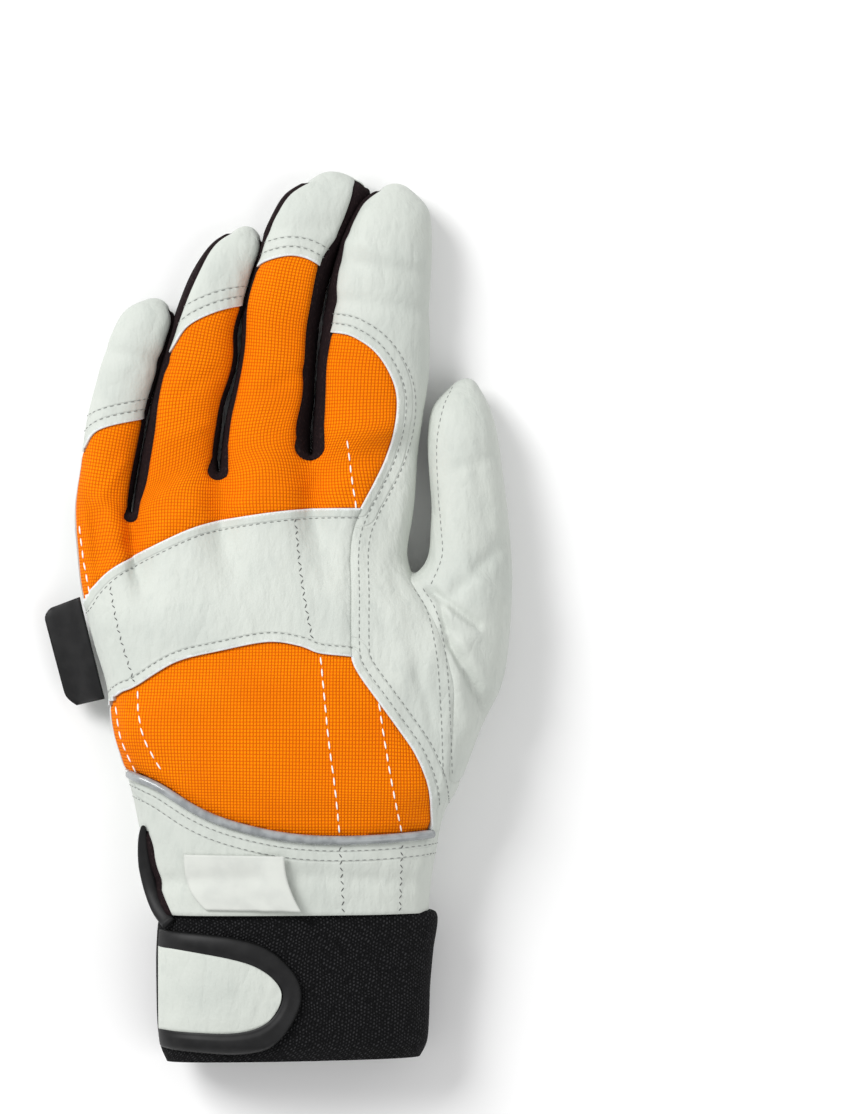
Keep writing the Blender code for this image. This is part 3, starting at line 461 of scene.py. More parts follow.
@dataclass(frozen=True)
class Seam:
    """Smooth curve on the grid that panels meet at.

    Attributes:
        knots: Points that the curve passes through.
        reach: How far it goes on straight past both ends, in grid units.
    """

    knots: tuple[tuple[float, float], ...]
    reach: float = 400.0

    def line(self) -> np.ndarray:
        """Sampled curve with its straight ends.

        Returns:
            Points, one to a row.
        """
        inner = np.array(curve_points(self.knots, 10))
        ends = []
        for end, before in ((inner[0], inner[1]), (inner[-1], inner[-2])):
            away = end - before
            ends.append(end + away / np.linalg.norm(away) * self.reach)
        return np.array([ends[0], *inner, ends[1]])

    def distances(self, coords: np.ndarray) -> np.ndarray:
        """Signed distance of points to the curve, over zero on its right.

        Args:
            coords: Points in metres, one to a row.

        Returns:
            Distances in grid units.
        """
        px, py = grid_of(coords.T)
        line = self.line()
        best = np.full(len(coords), 1e9)
        sign = np.ones(len(coords))
        for start, end in zip(line, line[1:]):
            _, gap = nearest(px, py, start, end)
            dx, dy = end - start
            closer = gap < best - 1e-9
            best = np.where(closer, gap, best)
            sign = np.where(closer, np.sign(dx * (py - start[1]) - dy * (px - start[0])), sign)
        return best * np.where(sign == 0, 1, sign)

    def beside(self, offset: float, start: float = 0.0, end: float = 1.0) -> list[tuple[float, float]]:
        """Curve at a distance from this one.

        Args:
            offset: Distance in grid units, over zero to the right.
            start: Share of the length to start at.
            end: Share of the length to end at.

        Returns:
            Grid points.
        """
        inner = np.array(curve_points(self.knots, 10))
        ahead = np.gradient(inner, axis=0)
        ahead /= np.linalg.norm(ahead, axis=1)[:, None]
        side = np.stack([-ahead[:, 1], ahead[:, 0]], axis=1)
        moved = inner + side * offset
        count = len(moved)
        return [tuple(p) for p in moved[int(start * count):max(2, int(end * count))]]


@dataclass(frozen=True)
class RoundSeam:
    """Drop-shaped seam round the lower end of a slot between two fingers.

    Attributes:
        low: Grid position and radius of its lower circle.
        high: Grid position and radius of its upper circle.
    """

    low: tuple[float, float, float]
    high: tuple[float, float, float]

    def distances(self, coords: np.ndarray) -> np.ndarray:
        """Signed distance of points to the seam, under zero inside."""
        share, gap = nearest(*grid_of(coords.T), self.low, self.high)
        return gap - self.low[2] - (self.high[2] - self.low[2]) * share


# the dark panels' round ends on the back of the hand
SLOT_ENDS = {
    "fourchette_little": RoundSeam((131.0, 516.0, 6.0), (139.0, 486.0, 2.5)),
    "fourchette_middle": RoundSeam((218.2, 470.0, 9.6), (223.5, 440.0, 3.0)),
    "fourchette_index": RoundSeam((310.0, 446.0, 14.2), (314.0, 408.0, 8.5)),
}

SEAMS = {
    "cap_little": Seam(CAP_LITTLE), "cap_ring": Seam(CAP_RING), "cap_middle": Seam(CAP_MIDDLE),
    "side": Seam(SIDE_SEAM), "strap_top": Seam(STRAP_TOP), "strap_foot": Seam(STRAP_FOOT),
    "foot": Seam(PANEL_FOOT), "slit": Seam(SLIT_EDGE), "tip_side": Seam(TIP_SIDE), **SLOT_ENDS,
}


@dataclass
class Cage:
    """Rings of points of the whole hand and the faces between them.

    Attributes:
        points: Points in metres.
        faces: Corner numbers and the region of each face.
        cloth: Cloth position of each point in mm, for woven finishes.
        palm_rows: Point numbers of each ring of the palm.
        webs: Points between two neighbouring fingers.
    """

    points: list[Vector] = field(default_factory=list)
    faces: list[tuple[tuple[int, ...], Region]] = field(default_factory=list)
    cloth: dict[int, tuple[float, float]] = field(default_factory=dict)
    palm_rows: list[list[int]] = field(default_factory=list)
    webs: list[int] = field(default_factory=list)

    def build(self) -> "Cage":
        """Lay all rings and skin them.

        Returns:
            This cage.
        """
        self.palm_rows = [self.palm_row(row) for row in range(len(PALM))]
        self.skin_palm()
        for number, (name, table) in enumerate(FINGERS):
            self.skin_tube(name, table, self.root_ring(number), FINGER_POWER)
        self.skin_tube("thumb", THUMB, self.thumb_hole(), THUMB_POWER)
        for point in self.points:
            point.z = max(0.0, point.z)
        return self

    def add(self, point: Vector) -> int:
        """Keep a point."""
        self.points.append(point)
        return len(self.points) - 1

    def palm_row(self, row: int) -> list[int]:
        """Lay one ring of the palm: over the top, right side, underneath, left side.

        Args:
            row: Row of the palm's table.

        Returns:
            Numbers of the ring's points.
        """
        lx, ly, rx, ry, last, depth, lift = PALM[row]
        power = between(2.3, 2.6, smooth(row / ROOT_ROWS))
        web = 1 - smooth(row / WEB_ROWS)
        shares, drops = [], []
        for col in range(PALM_COLUMNS + 1):
            finger, step = divmod(col, FINGER_COLUMNS)
            finger, step = (finger, step) if finger < 4 else (3, FINGER_COLUMNS)
            spread = 0.5 - 0.5 * math.cos(math.pi * step / FINGER_COLUMNS)
            webs = (FIRST_SHARE, *WEB_SHARES, last)
            root = between(webs[finger], webs[finger + 1], between(step / FINGER_COLUMNS, spread, 0.5))
            arc = math.cos(math.pi * (EDGE_ARC + (1 - 2 * EDGE_ARC) * col / PALM_COLUMNS))
            even = between(FIRST_SHARE, last, 0.5 - 0.5 * arc / math.cos(math.pi * EDGE_ARC))
            shares.append(between(even, root, 1 - smooth(row / ROOT_ROWS)))
            knot, part = divmod(col, 2)
            drop = ROW_LIFT[knot] if not part else (ROW_LIFT[knot] + ROW_LIFT[knot + 1]) / 2
            drops.append(drop * web)
        ring = [self.palm_point(row, shares[c], drops[c], c, web, power, 1)
                for c in range(PALM_COLUMNS + 1)]
        ring.append(self.add(section((lx, ly, rx, ry, depth, lift), 0.0, power)))
        ring += [self.palm_point(row, shares[c], drops[c], c, web, power, -1)
                 for c in range(PALM_COLUMNS, -1, -1)]
        ring.append(self.add(section((lx, ly, rx, ry, depth, lift), math.pi, power)))
        self.lay_cloth(ring, PALM_COLUMNS, None)
        return ring

    def palm_point(self, row: int, share: float, drop: float, col: int, web: float, power: float,
                   side: int) -> int:
        """Place one point of a palm ring.

        Args:
            row: Row of the palm's table.
            share: Share of the width from the left.
            drop: Shift towards the hem, in grid units.
            col: Column of the ring.
            web: How strongly the valleys between the fingers show.
            power: Squareness of the section.
            side: 1 for the back and -1 for the palm side.

        Returns:
            Number of the point.
        """
        lx, ly, rx, ry, _, depth, lift = PALM[row]
        value = abs(2 * share - 1)
        beside_thumb = smooth(1 - abs(row - sum(THUMB_ROWS) / 2) / 3.5)
        power += THUMB_FULLNESS * beside_thumb * smooth(2 * share - 1)
        rise = (1 - value ** power) ** (1 / power)
        valley = math.cos(math.pi * col / FINGER_COLUMNS) ** 2 if 0 < col < PALM_COLUMNS else 0.0
        valley = valley ** 2 * web
        rise *= between(1.0, WEB_TOP if side > 0 else WEB_UNDER, valley)
        half = depth * MM / 2
        z = lift * MM + half + side * half * rise
        return self.add(flat(between(lx, rx, share), between(ly, ry, share) + drop, z))

    def lay_cloth(self, ring: list[int], last: int, root: tuple[float, float] | None) -> None:
        """Give the points of a ring their place on flat cloth.

        Args:
            ring: Point numbers, the upper ones first.
            last: Number of the last upper column.
            root: Cloth place of the ring's middle, or None to take it from the grid.
        """
        middle = last // 2
        centre = self.points[ring[middle]]
        u0, v0 = root or (centre.x / MM, centre.y / MM)
        for way in (1, -1):
            u, before = u0, centre
            i = middle
            while 0 <= i + way <= last:
                i += way
                point = self.points[ring[i]]
                u += way * (point - before).length / MM
                self.cloth[ring[i]] = (u, v0 + (0 if root else (point.y - centre.y) / MM))
                before = point
            side = ring[last + 1] if way > 0 else ring[-1]
            if side not in self.cloth:
                step = (self.points[side] - before).length / MM
                self.cloth[side] = (u + way * step, self.cloth[ring[i]][1])
        self.cloth[ring[middle]] = (u0, v0)

    def root_ring(self, number: int) -> list[int]:
        """Twelve points of the first palm row where a finger stands on.

        Args:
            number: Number of the finger from the little one.

        Returns:
            Point numbers.
        """
        row = self.palm_rows[0]
        start = number * FINGER_COLUMNS
        upper = [row[start + i] for i in range(FINGER_COLUMNS + 1)]
        lower = [row[2 * PALM_COLUMNS + 2 - start - i] for i in range(FINGER_COLUMNS, -1, -1)]
        left = row[-1] if number == 0 else self.webs[-1]
        if number == 3:
            right = row[PALM_COLUMNS + 1]
        else:
            right = self.add((self.points[upper[-1]] + self.points[lower[0]]) / 2)
            self.cloth[right] = self.cloth[upper[-1]]
            self.webs.append(right)
        return [*upper, right, *lower, left]

    def thumb_hole(self) -> list[int]:
        """Ring of the palm's side that the thumb stands on.

        Returns:
            Point numbers.
        """
        first, last = THUMB_ROWS
        col = PALM_COLUMNS
        rows = self.palm_rows[first:last + 1]
        upper = [row[col] for row in rows]
        lower = [row[col + 2] for row in reversed(rows)]
        return [*upper, self.palm_rows[last][col + 1], *lower, self.palm_rows[first][col + 1]]

    def skin_palm(self) -> None:
        """Make the faces between the palm's rings, leaving out the thumb's hole."""
        first, last = THUMB_ROWS
        col = PALM_COLUMNS
        count = len(self.palm_rows[0])
        for row, (ring, other) in enumerate(zip(self.palm_rows, self.palm_rows[1:])):
            for i in range(count):
                if first <= row < last and i in (col, col + 1):
                    continue
                j = (i + 1) % count
                side = "top" if i < col else "right" if i == col else "under"
                side = "left" if i == count - 1 else side
                self.faces.append(((ring[i], ring[j], other[j], other[i]), ("palm", side, row)))

    def skin_tube(self, name: str, table: Sequence[Sequence[float]], root: list[int],
                  power: float) -> None:
        """Lay the rings of a finger, skin them and close its tip.

        Args:
            name: Name of the finger.
            table: Its stations.
            root: Ring of the palm that it stands on.
            power: Squareness of its sections.
        """
        rings = [root]
        middle = self.points[root[2]]
        cloth = self.cloth.get(root[2], (0.0, 0.0))
        for lx, ly, rx, ry, seam_l, seam_r, depth, lift in table:
            station = (lx, ly, rx, ry, depth, lift)
            start, end = seam_angle(seam_l, power), seam_angle(seam_r, power)
            ring = [self.add(section(station, between(start, end, i / FINGER_COLUMNS), power))
                    for i in range(FINGER_COLUMNS + 1)]
            ring.append(self.add(section(station, 0.0, power)))
            for i in range(FINGER_COLUMNS + 1):
                angle = between(PALM_START, PALM_END, i / FINGER_COLUMNS) + 2 * math.pi
                ring.append(self.add(section(station, angle, power)))
            ring.append(self.add(section(station, math.pi, power)))
            now = self.points[ring[2]]
            cloth = (cloth[0], cloth[1] + (now - middle).length / MM)
            middle = now
            self.lay_cloth(ring, 4, cloth)
            rings.append(ring)
        sides = ("top",) * 4 + ("right_up", "right_low") + ("under",) * 4 + ("left_low", "left_up")
        for row, (ring, other) in enumerate(zip(rings, rings[1:])):
            for i in range(RING_POINTS):
                j = (i + 1) % RING_POINTS
                self.faces.append(((ring[j], ring[i], other[i], other[j]), (name, sides[i], row)))
        self.close_tip(name, rings[-1])

    def close_tip(self, name: str, end: list[int]) -> None:
        """Close a finger past its last ring.

        Args:
            name: Name of the finger.
            end: Its last ring.
        """
        tip = flat(*TIPS[name])
        height = (self.points[end[2]].z + self.points[end[8]].z) / 2
        left, right = self.points[end[11]], self.points[end[5]]
        middle = []
        for share, reach in ((0.26, 0.78), (0.5, 1.0), (0.74, 0.78)):
            point = left.lerp(right, share) + (tip - left.lerp(right, 0.5)) * reach
            point.z = height
            middle.append(self.add(point))
        spine = [end[11], *middle, end[5]]
        lower = end[6:11][::-1]
        for i in range(4):
            self.faces.append(((end[i + 1], end[i], spine[i], spine[i + 1]), (name, "cap_up", i)))
            self.faces.append(((lower[i], lower[i + 1], spine[i + 1], spine[i]), (name, "cap_low", i)))


def limit_points(coords: np.ndarray, faces: Sequence[Sequence[int]]) -> np.ndarray:
    """Where the corners of a cage of quads end on its smooth surface.

    Args:
        coords: Corners, one to a row.
        faces: Corner numbers of each quad.

    Returns:
        Limit positions.
    """
    count = len(coords)
    edges: dict[tuple[int, int], int] = {}
    across = np.zeros_like(coords)
    valence = np.zeros(count)
    for face in faces:
        for i, a in enumerate(face):
            b = face[(i + 1) % 4]
            across[a] += coords[face[(i + 2) % 4]]
            edges[min(a, b), max(a, b)] = edges.get((min(a, b), max(a, b)), 0) + 1
    near, rim, on_rim = np.zeros_like(coords), np.zeros_like(coords), np.zeros(count, bool)
    for (a, b), uses in edges.items():
        near[a] += coords[b]
        near[b] += coords[a]
        valence[a] += 1
        valence[b] += 1
        if uses == 1:
            rim[a] += coords[b]
            rim[b] += coords[a]
            on_rim[a] = on_rim[b] = True
    n = valence[:, None]
    inner = (n * n * coords + 4 * near + across) / (n * (n + 5))
    return np.where(on_rim[:, None], (4 * coords + rim) / 6, inner)


@dataclass
class Hand:
    """The fine smooth form of the hand, cut into panels.

    Attributes:
        levels: Subdivision levels of the form.
        mesh: The cut form.
        piece: Piece name of each face.
        tree: The uncut form, for laying things on it.
        tags: Part, side and row of each region that the faces name.
        pinned: Corners that must not slide any more.
    """

    levels: int = FINE_LEVELS
    mesh: bmesh.types.BMesh | None = None
    piece: list[str] = field(default_factory=list)
    tree: BVHTree | None = None
    tags: list[Region] = field(default_factory=list)
    pinned: set[bmesh.types.BMVert] = field(default_factory=set)

    def build(self) -> "Hand":
        """Make the form, its relief and its panels.

        Returns:
            This hand.
        """
        coarse = self.coarse_form(Cage().build())
        self.fit(coarse)
        self.refine(coarse)
        self.sculpt()
        self.tree = BVHTree.FromBMesh(self.mesh)
        self.cut()
        return self

    def coarse_form(self, cage: Cage) -> bmesh.types.BMesh:
        """Turn the cage into a mesh and soften it where parts run into one another.

        Args:
            cage: The rings and faces.

        Returns:
            The coarse mesh.
        """
        coarse = bmesh.new()
        verts = [coarse.verts.new(p) for p in cage.points]
        layer = coarse.faces.layers.int.new("tag")
        cloth = coarse.loops.layers.uv.new("cloth")
        for corners, tag in cage.faces:
            face = coarse.faces.new([verts[i] for i in reversed(corners)])
            face[layer] = len(self.tags)
            self.tags.append(tag)
            for loop, number in zip(face.loops, reversed(corners)):
                loop[cloth].uv = cage.cloth.get(number, (0.0, 0.0))
        bmesh.ops.delete(coarse, geom=[v for v in coarse.verts if not v.link_faces], context="VERTS")
        for centre, reach, passes in SOFTEN:
            near = [v for v in coarse.verts
                    if math.dist(grid_of(v.co), centre) < reach and not v.is_boundary]
            for _ in range(passes):
                bmesh.ops.smooth_vert(coarse, verts=near, factor=0.5, use_axis_x=True,
                                      use_axis_y=True, use_axis_z=True)
        return coarse

    @staticmethod
    def fit(coarse: bmesh.types.BMesh) -> None:
        """Move the corners so that the smooth surface passes through their first places.

        Args:
            coarse: The coarse mesh.
        """
        coarse.verts.index_update()
        wanted = np.array([v.co for v in coarse.verts])
        quads = [[v.index for v in f.verts] for f in coarse.faces]
        fitted = wanted.copy()
        for _ in range(FITTING_PASSES):
            fitted += wanted - limit_points(fitted, quads)
        for vert, place in zip(coarse.verts, fitted):
            vert.co = place

    def refine(self, coarse: bmesh.types.BMesh) -> None:
        """Subdivide the coarse mesh into the fine form and free it.

        Args:
            coarse: The coarse mesh.
        """
        data = bpy.data.meshes.new("cage")
        coarse.to_mesh(data)
        coarse.free()
        holder = bpy.data.objects.new("cage", data)
        bpy.context.collection.objects.link(holder)
        fine = holder.modifiers.new("fine", "SUBSURF")
        fine.levels = fine.render_levels = self.levels
        graph = bpy.context.evaluated_depsgraph_get()
        result = bpy.data.meshes.new_from_object(holder.evaluated_get(graph))
        bpy.data.objects.remove(holder)
        bpy.data.meshes.remove(data)
        self.mesh = bmesh.new()
        self.mesh.from_mesh(result)
        bpy.data.meshes.remove(result)
        source = self.mesh.loops.layers.uv["cloth"]
        kept = self.mesh.verts.layers.float_vector.new("cloth")
        for vert in self.mesh.verts:
            uv = vert.link_loops[0][source].uv
            vert[kept] = (uv.x, uv.y, 0.0)
        self.mesh.normal_update()

    def coords(self) -> np.ndarray:
        """Corner positions of the mesh."""
        return np.array([v.co for v in self.mesh.verts])

    def sculpt(self) -> None:
        """Press folds, dents, padding and wrinkles into the form."""
        coords = self.coords()
        normals = np.array([v.normal for v in self.mesh.verts])
        px, py = grid_of(coords.T)
        upper = np.clip(normals[:, 2] / 0.35, 0, 1)
        lower = np.clip(-normals[:, 2] / 0.35, 0, 1)
        lift = np.zeros(len(coords))
        for table, facing in ((FOLDS, upper), (CREASES, lower)):
            for *ends, width, amount in table:
                _, gap = nearest(px, py, ends[:2], ends[2:])
                lift += amount * facing * np.exp(-((gap / width) ** 2))
        reach = {name: SEAMS[name].distances(coords) for name in ("foot", "strap_foot", "side")}
        edge = np.minimum.reduce([-reach["foot"] - PIPING_CHANNEL, reach["strap_foot"], reach["side"],
                                  px - PAD_LEFT])
        share = np.clip(edge / PAD_SLOPE, 0, 1)
        lift += PAD_HEIGHT * share * share * (3 - 2 * share) * upper
        for i, vert in enumerate(self.mesh.verts):
            spot = vert.co * WRINKLE_SCALE
            wave = noise.noise(spot) + 0.5 * noise.noise(spot * 2.3)
            fade = smooth(vert.co.z / (4 * MM))
            vert.co += vert.normal * ((lift[i] + WRINKLE_DEPTH * wave * fade) * MM)
            vert.co.z = max(0.0, vert.co.z)
        self.mesh.normal_update()

    def cut(self) -> None:
        """Cut every seam into the form and name the piece of each face."""
        layer = self.mesh.faces.layers.int["tag"]
        self.pinned = {v for f in self.mesh.faces if self.tags[f[layer]][1] != "top"
                       and self.tags[f[layer]][0] != "thumb" for v in f.verts}
        self.pinned |= {v for v in self.mesh.verts if v.is_boundary}

        def is_back(part: str) -> Callable[[Region], bool]:
            """Test for the back of one part."""
            return lambda t: t[0] == part and t[1] == "top"

        for name in ("little", "ring", "middle"):
            self.split(is_back(name), "cap_" + name)
        self.split(lambda t: t[0] in ("index", "palm") and t[1] == "top", "side")
        for name in SLOT_ENDS:
            self.split(lambda t: t[1] == "top" and t[0] != "thumb", name)
        self.split(lambda t: t[0] == "middle" and t[1] == "cap_up", "tip_side")
        self.split(is_back("palm"), "strap_top")
        self.split(is_back("palm"), "strap_foot")
        for shift in (-PIPING_CHANNEL, PIPING_CHANNEL):
            self.split(lambda t: t[0] == "palm" and t[1] in ("top", "right", "left"), "foot", shift)
        self.split(lambda t: t[0] == "palm" and t[1] == "top" and t[2] >= SLIT_ROW, "slit",
                   right=SLIT_RIGHT)
        bmesh.ops.triangulate(self.mesh, faces=[f for f in self.mesh.faces if len(f.verts) > 4])
        self.mesh.normal_update()
        self.mesh.faces.index_update()
        self.mesh.verts.index_update()
        centres = np.array([f.calc_center_median() for f in self.mesh.faces])
        sides = {name: seam.distances(centres) for name, seam in SEAMS.items()}
        self.piece = [self.name_of(self.tags[f[layer]], f.index, grid_of(centres[f.index]), sides)
                      for f in self.mesh.faces]

    def split(self, wanted: Callable[[Region], bool], seam: str, shift: float = 0.0,
              right: float = 1e9) -> None:
        """Cut some regions along a seam, sliding near corners on to the cut first.

        Args:
            wanted: Tells whether a region is cut.
            seam: Name of the seam.
            shift: Distance beside the seam to cut at, in grid units.
            right: Only faces left of this grid x are cut.
        """
        mesh = self.mesh
        layer = mesh.faces.layers.int["tag"]
        mesh.verts.index_update()
        mesh.verts.ensure_lookup_table()
        limit = (right - GRID_CENTRE[0]) * UNIT
        faces = [f for f in mesh.faces if wanted(self.tags[f[layer]])
                 and f.calc_center_median().x < limit]
        reach = SEAMS[seam].distances(self.coords()) - shift
        value = {v: float(reach[v.index]) for f in faces for v in f.verts}
        edges = list(dict.fromkeys(e for f in faces for e in f.edges))
        crossing = [e for e in edges if value[e.verts[0]] * value[e.verts[1]] < 0]
        for edge in crossing:
            a, b = edge.verts
            if value[a] * value[b] >= 0:
                continue
            share = value[a] / (value[a] - value[b])
            near, far, share = (a, b, share) if share < 0.5 else (b, a, 1 - share)
            if share < SNAP_SHARE and near not in self.pinned:
                near.co = near.co.lerp(far.co, share)
                value[near] = 0.0
                self.pinned.add(near)
        touched = {}
        for edge in crossing:
            a, b = edge.verts
            if value[a] * value[b] < 0:
                vert = bmesh.utils.edge_split(edge, a, value[a] / (value[a] - value[b]))[1]
                value[vert] = 0.0
                self.pinned.add(vert)
        for face in faces:
            if sum(1 for v in face.verts if value.get(v) == 0.0) > 1:
                touched[face] = None
        pending = list(touched)
        while pending:
            pending += self.split_face(pending.pop(), value)

    @staticmethod
    def split_face(face: bmesh.types.BMFace, value: dict) -> list[bmesh.types.BMFace]:
        """Cut one face between two corners that lie on the seam.

        Args:
            face: The face.
            value: Distance of each corner to the seam.

        Returns:
            The two parts, or nothing where no cut is needed.
        """
        loop = list(face.verts)
        on = [i for i, v in enumerate(loop) if value.get(v) == 0.0]
        for i in on:
            for j in on:
                if j - i < 2 or j - i > len(loop) - 2:
                    continue
                one = {math.copysign(1, value[v]) for v in loop[i + 1:j] if value.get(v)}
                two = {math.copysign(1, value[v]) for v in loop[j + 1:] + loop[:i] if value.get(v)}
                if one and two and one != two:
                    return [face, bmesh.utils.face_split(face, loop[i], loop[j])[0]]
        return []

    @staticmethod
    def name_of(tag: Region, number: int, spot: tuple[float, float],
                sides: dict[str, np.ndarray]) -> str:
        """Name the piece that a face belongs to.

        Args:
            tag: Region of the face.
            number: Number of the face.
            spot: Grid position of its middle.
            sides: Signed distances of all faces to each seam.

        Returns:
            The piece's name.
        """
        part, side, row = tag
        if part == "thumb":
            return "thumb_leather"
        if side == "top":
            for name in SLOT_ENDS:
                if sides[name][number] < 0:
                    return name
        if part == "palm":
            if side == "under":
                return "palm_leather"
            foot = sides["foot"][number]
            if abs(foot) < PIPING_CHANNEL and side == "top" and spot[0] < CHANNEL_RIGHT:
                return "channel"
            if foot > 0:
                slit = (side == "left" or sides["slit"][number] > 0) and spot[0] < BINDING_RIGHT
                slit = slit and row >= SLIT_ROW and side != "right" and spot[1] > BINDING_TOP
                return "slit_binding" if slit else "wrist_leather"
            if side == "right" or sides["side"][number] < 0:
                return "index_leather"
            if sides["strap_top"][number] < 0:
                return "back_knuckles"
            return "knuckle_strap" if sides["strap_foot"][number] < 0 else "back_hand"
        order = ("little", "ring", "middle", "index")
        place = order.index(part)
        if side == "under":
            return "palm_leather"
        outer = (place == 0 and side.startswith("left")) or (place == 3 and side.startswith("right"))
        if side.split("_")[0] in ("left", "right") and not outer:
            gap = place if side.startswith("right") else place - 1
            return ("fourchette_little", "fourchette_middle", "fourchette_index")[gap]
        if side.endswith("low"):
            return "palm_leather"
        if part == "index":
            white = side != "top" or sides["side"][number] < 0
            return "index_leather" if white else "back_knuckles"
        if part == "middle" and side == "cap_up" and sides["tip_side"][number] > 0:
            return "fourchette_index"
        white = side == "cap_up" or sides["cap_" + part][number] < 0
        return "tip_" + part if white else "back_knuckles"


@dataclass(frozen=True)
class Panel:
    """How one panel of the hand is made.

    Attributes:
        slot: Its material slot.
        wall: Thickness in mm.
        lift: Height over the form in mm.
    """

    slot: Slot
    wall: float
    lift: float = 0.0


PANELS = {
    "tip_little": Panel(Slot.LEATHER, 1.4),
    "tip_ring": Panel(Slot.LEATHER, 1.4),
    "tip_middle": Panel(Slot.LEATHER, 1.4),
    "index_leather": Panel(Slot.LEATHER, 1.4),
    "back_knuckles": Panel(Slot.ORANGE, 1.5),
    "back_hand": Panel(Slot.ORANGE, 2.6),
    "knuckle_strap": Panel(Slot.LEATHER, 1.8, 0.35),
    "wrist_leather": Panel(Slot.LEATHER, 1.4),
    "palm_leather": Panel(Slot.LEATHER, 1.4),
    "thumb_leather": Panel(Slot.LEATHER, 1.4),
    "fourchette_little": Panel(Slot.FABRIC, 1.1),
    "fourchette_middle": Panel(Slot.FABRIC, 1.1),
    "fourchette_index": Panel(Slot.FABRIC, 1.1),
    "slit_binding": Panel(Slot.FABRIC, 1.1),
}


def lip(own: Slot, other: Slot | None) -> tuple[float, float]:
    """Shape of a panel's edge beside another panel.

    Args:
        own: Slot of the panel.
        other: Slot of its neighbour, or None at the piping or an open rim.

    Returns:
        Height of the edge and how far it reaches in, both in mm.
    """
    if own is Slot.LEATHER:
        if other is None:
            return -0.45, 1.8
        return {Slot.ORANGE: (0.45, 2.6), Slot.LEATHER: (-0.5, 2.2)}.get(other, (-0.3, 1.4))
    if own is Slot.ORANGE:
        return (-0.45, 1.6) if other else (-0.9, 3.0)
    return (-0.7, 1.8) if other else (0.0, 1.0)


def new_object(name: str, mesh: bpy.types.Mesh) -> Piece:
    """Link a mesh as a smooth piece.

    Args:
        name: Name of the piece.
        mesh: Its mesh.

    Returns:
        The object.
    """
    mesh.shade_smooth()
    piece = bpy.data.objects.new(name, mesh)
    bpy.context.collection.objects.link(piece)
    return piece


def mark(mesh: bpy.types.Mesh, cloth: np.ndarray, edge: np.ndarray) -> None:
    """Give a mesh what its finish reads.

    Args:
        mesh: The mesh.
        cloth: Cloth position of each corner in mm.
        edge: Distance of each corner to a raw edge in mm.
    """
    corners = np.zeros(len(mesh.loops), int)
    mesh.loops.foreach_get("vertex_index", corners)
    mesh.uv_layers.new(name="cloth").data.foreach_set("uv", cloth[corners].ravel())
    mesh.attributes.new("edge_mm", "FLOAT", "POINT").data.foreach_set("value", edge)
    mesh.update()


@dataclass(frozen=True)
class Patch:
    """Outer side of one panel before it has a thickness.

    Attributes:
        outer: Corners in metres.
        normals: Their normals.
        inward: Direction into the panel at the border.
        faces: Corner numbers of the faces.
        border: Directed border edges.
        cloth: Cloth position of each corner in mm.
        edge: Distance of each corner to a raw edge in mm.
    """

    outer: np.ndarray
    normals: np.ndarray
    inward: np.ndarray
    faces: list[tuple[int, ...]]
    border: list[tuple[int, int]]
    cloth: np.ndarray
    edge: np.ndarray


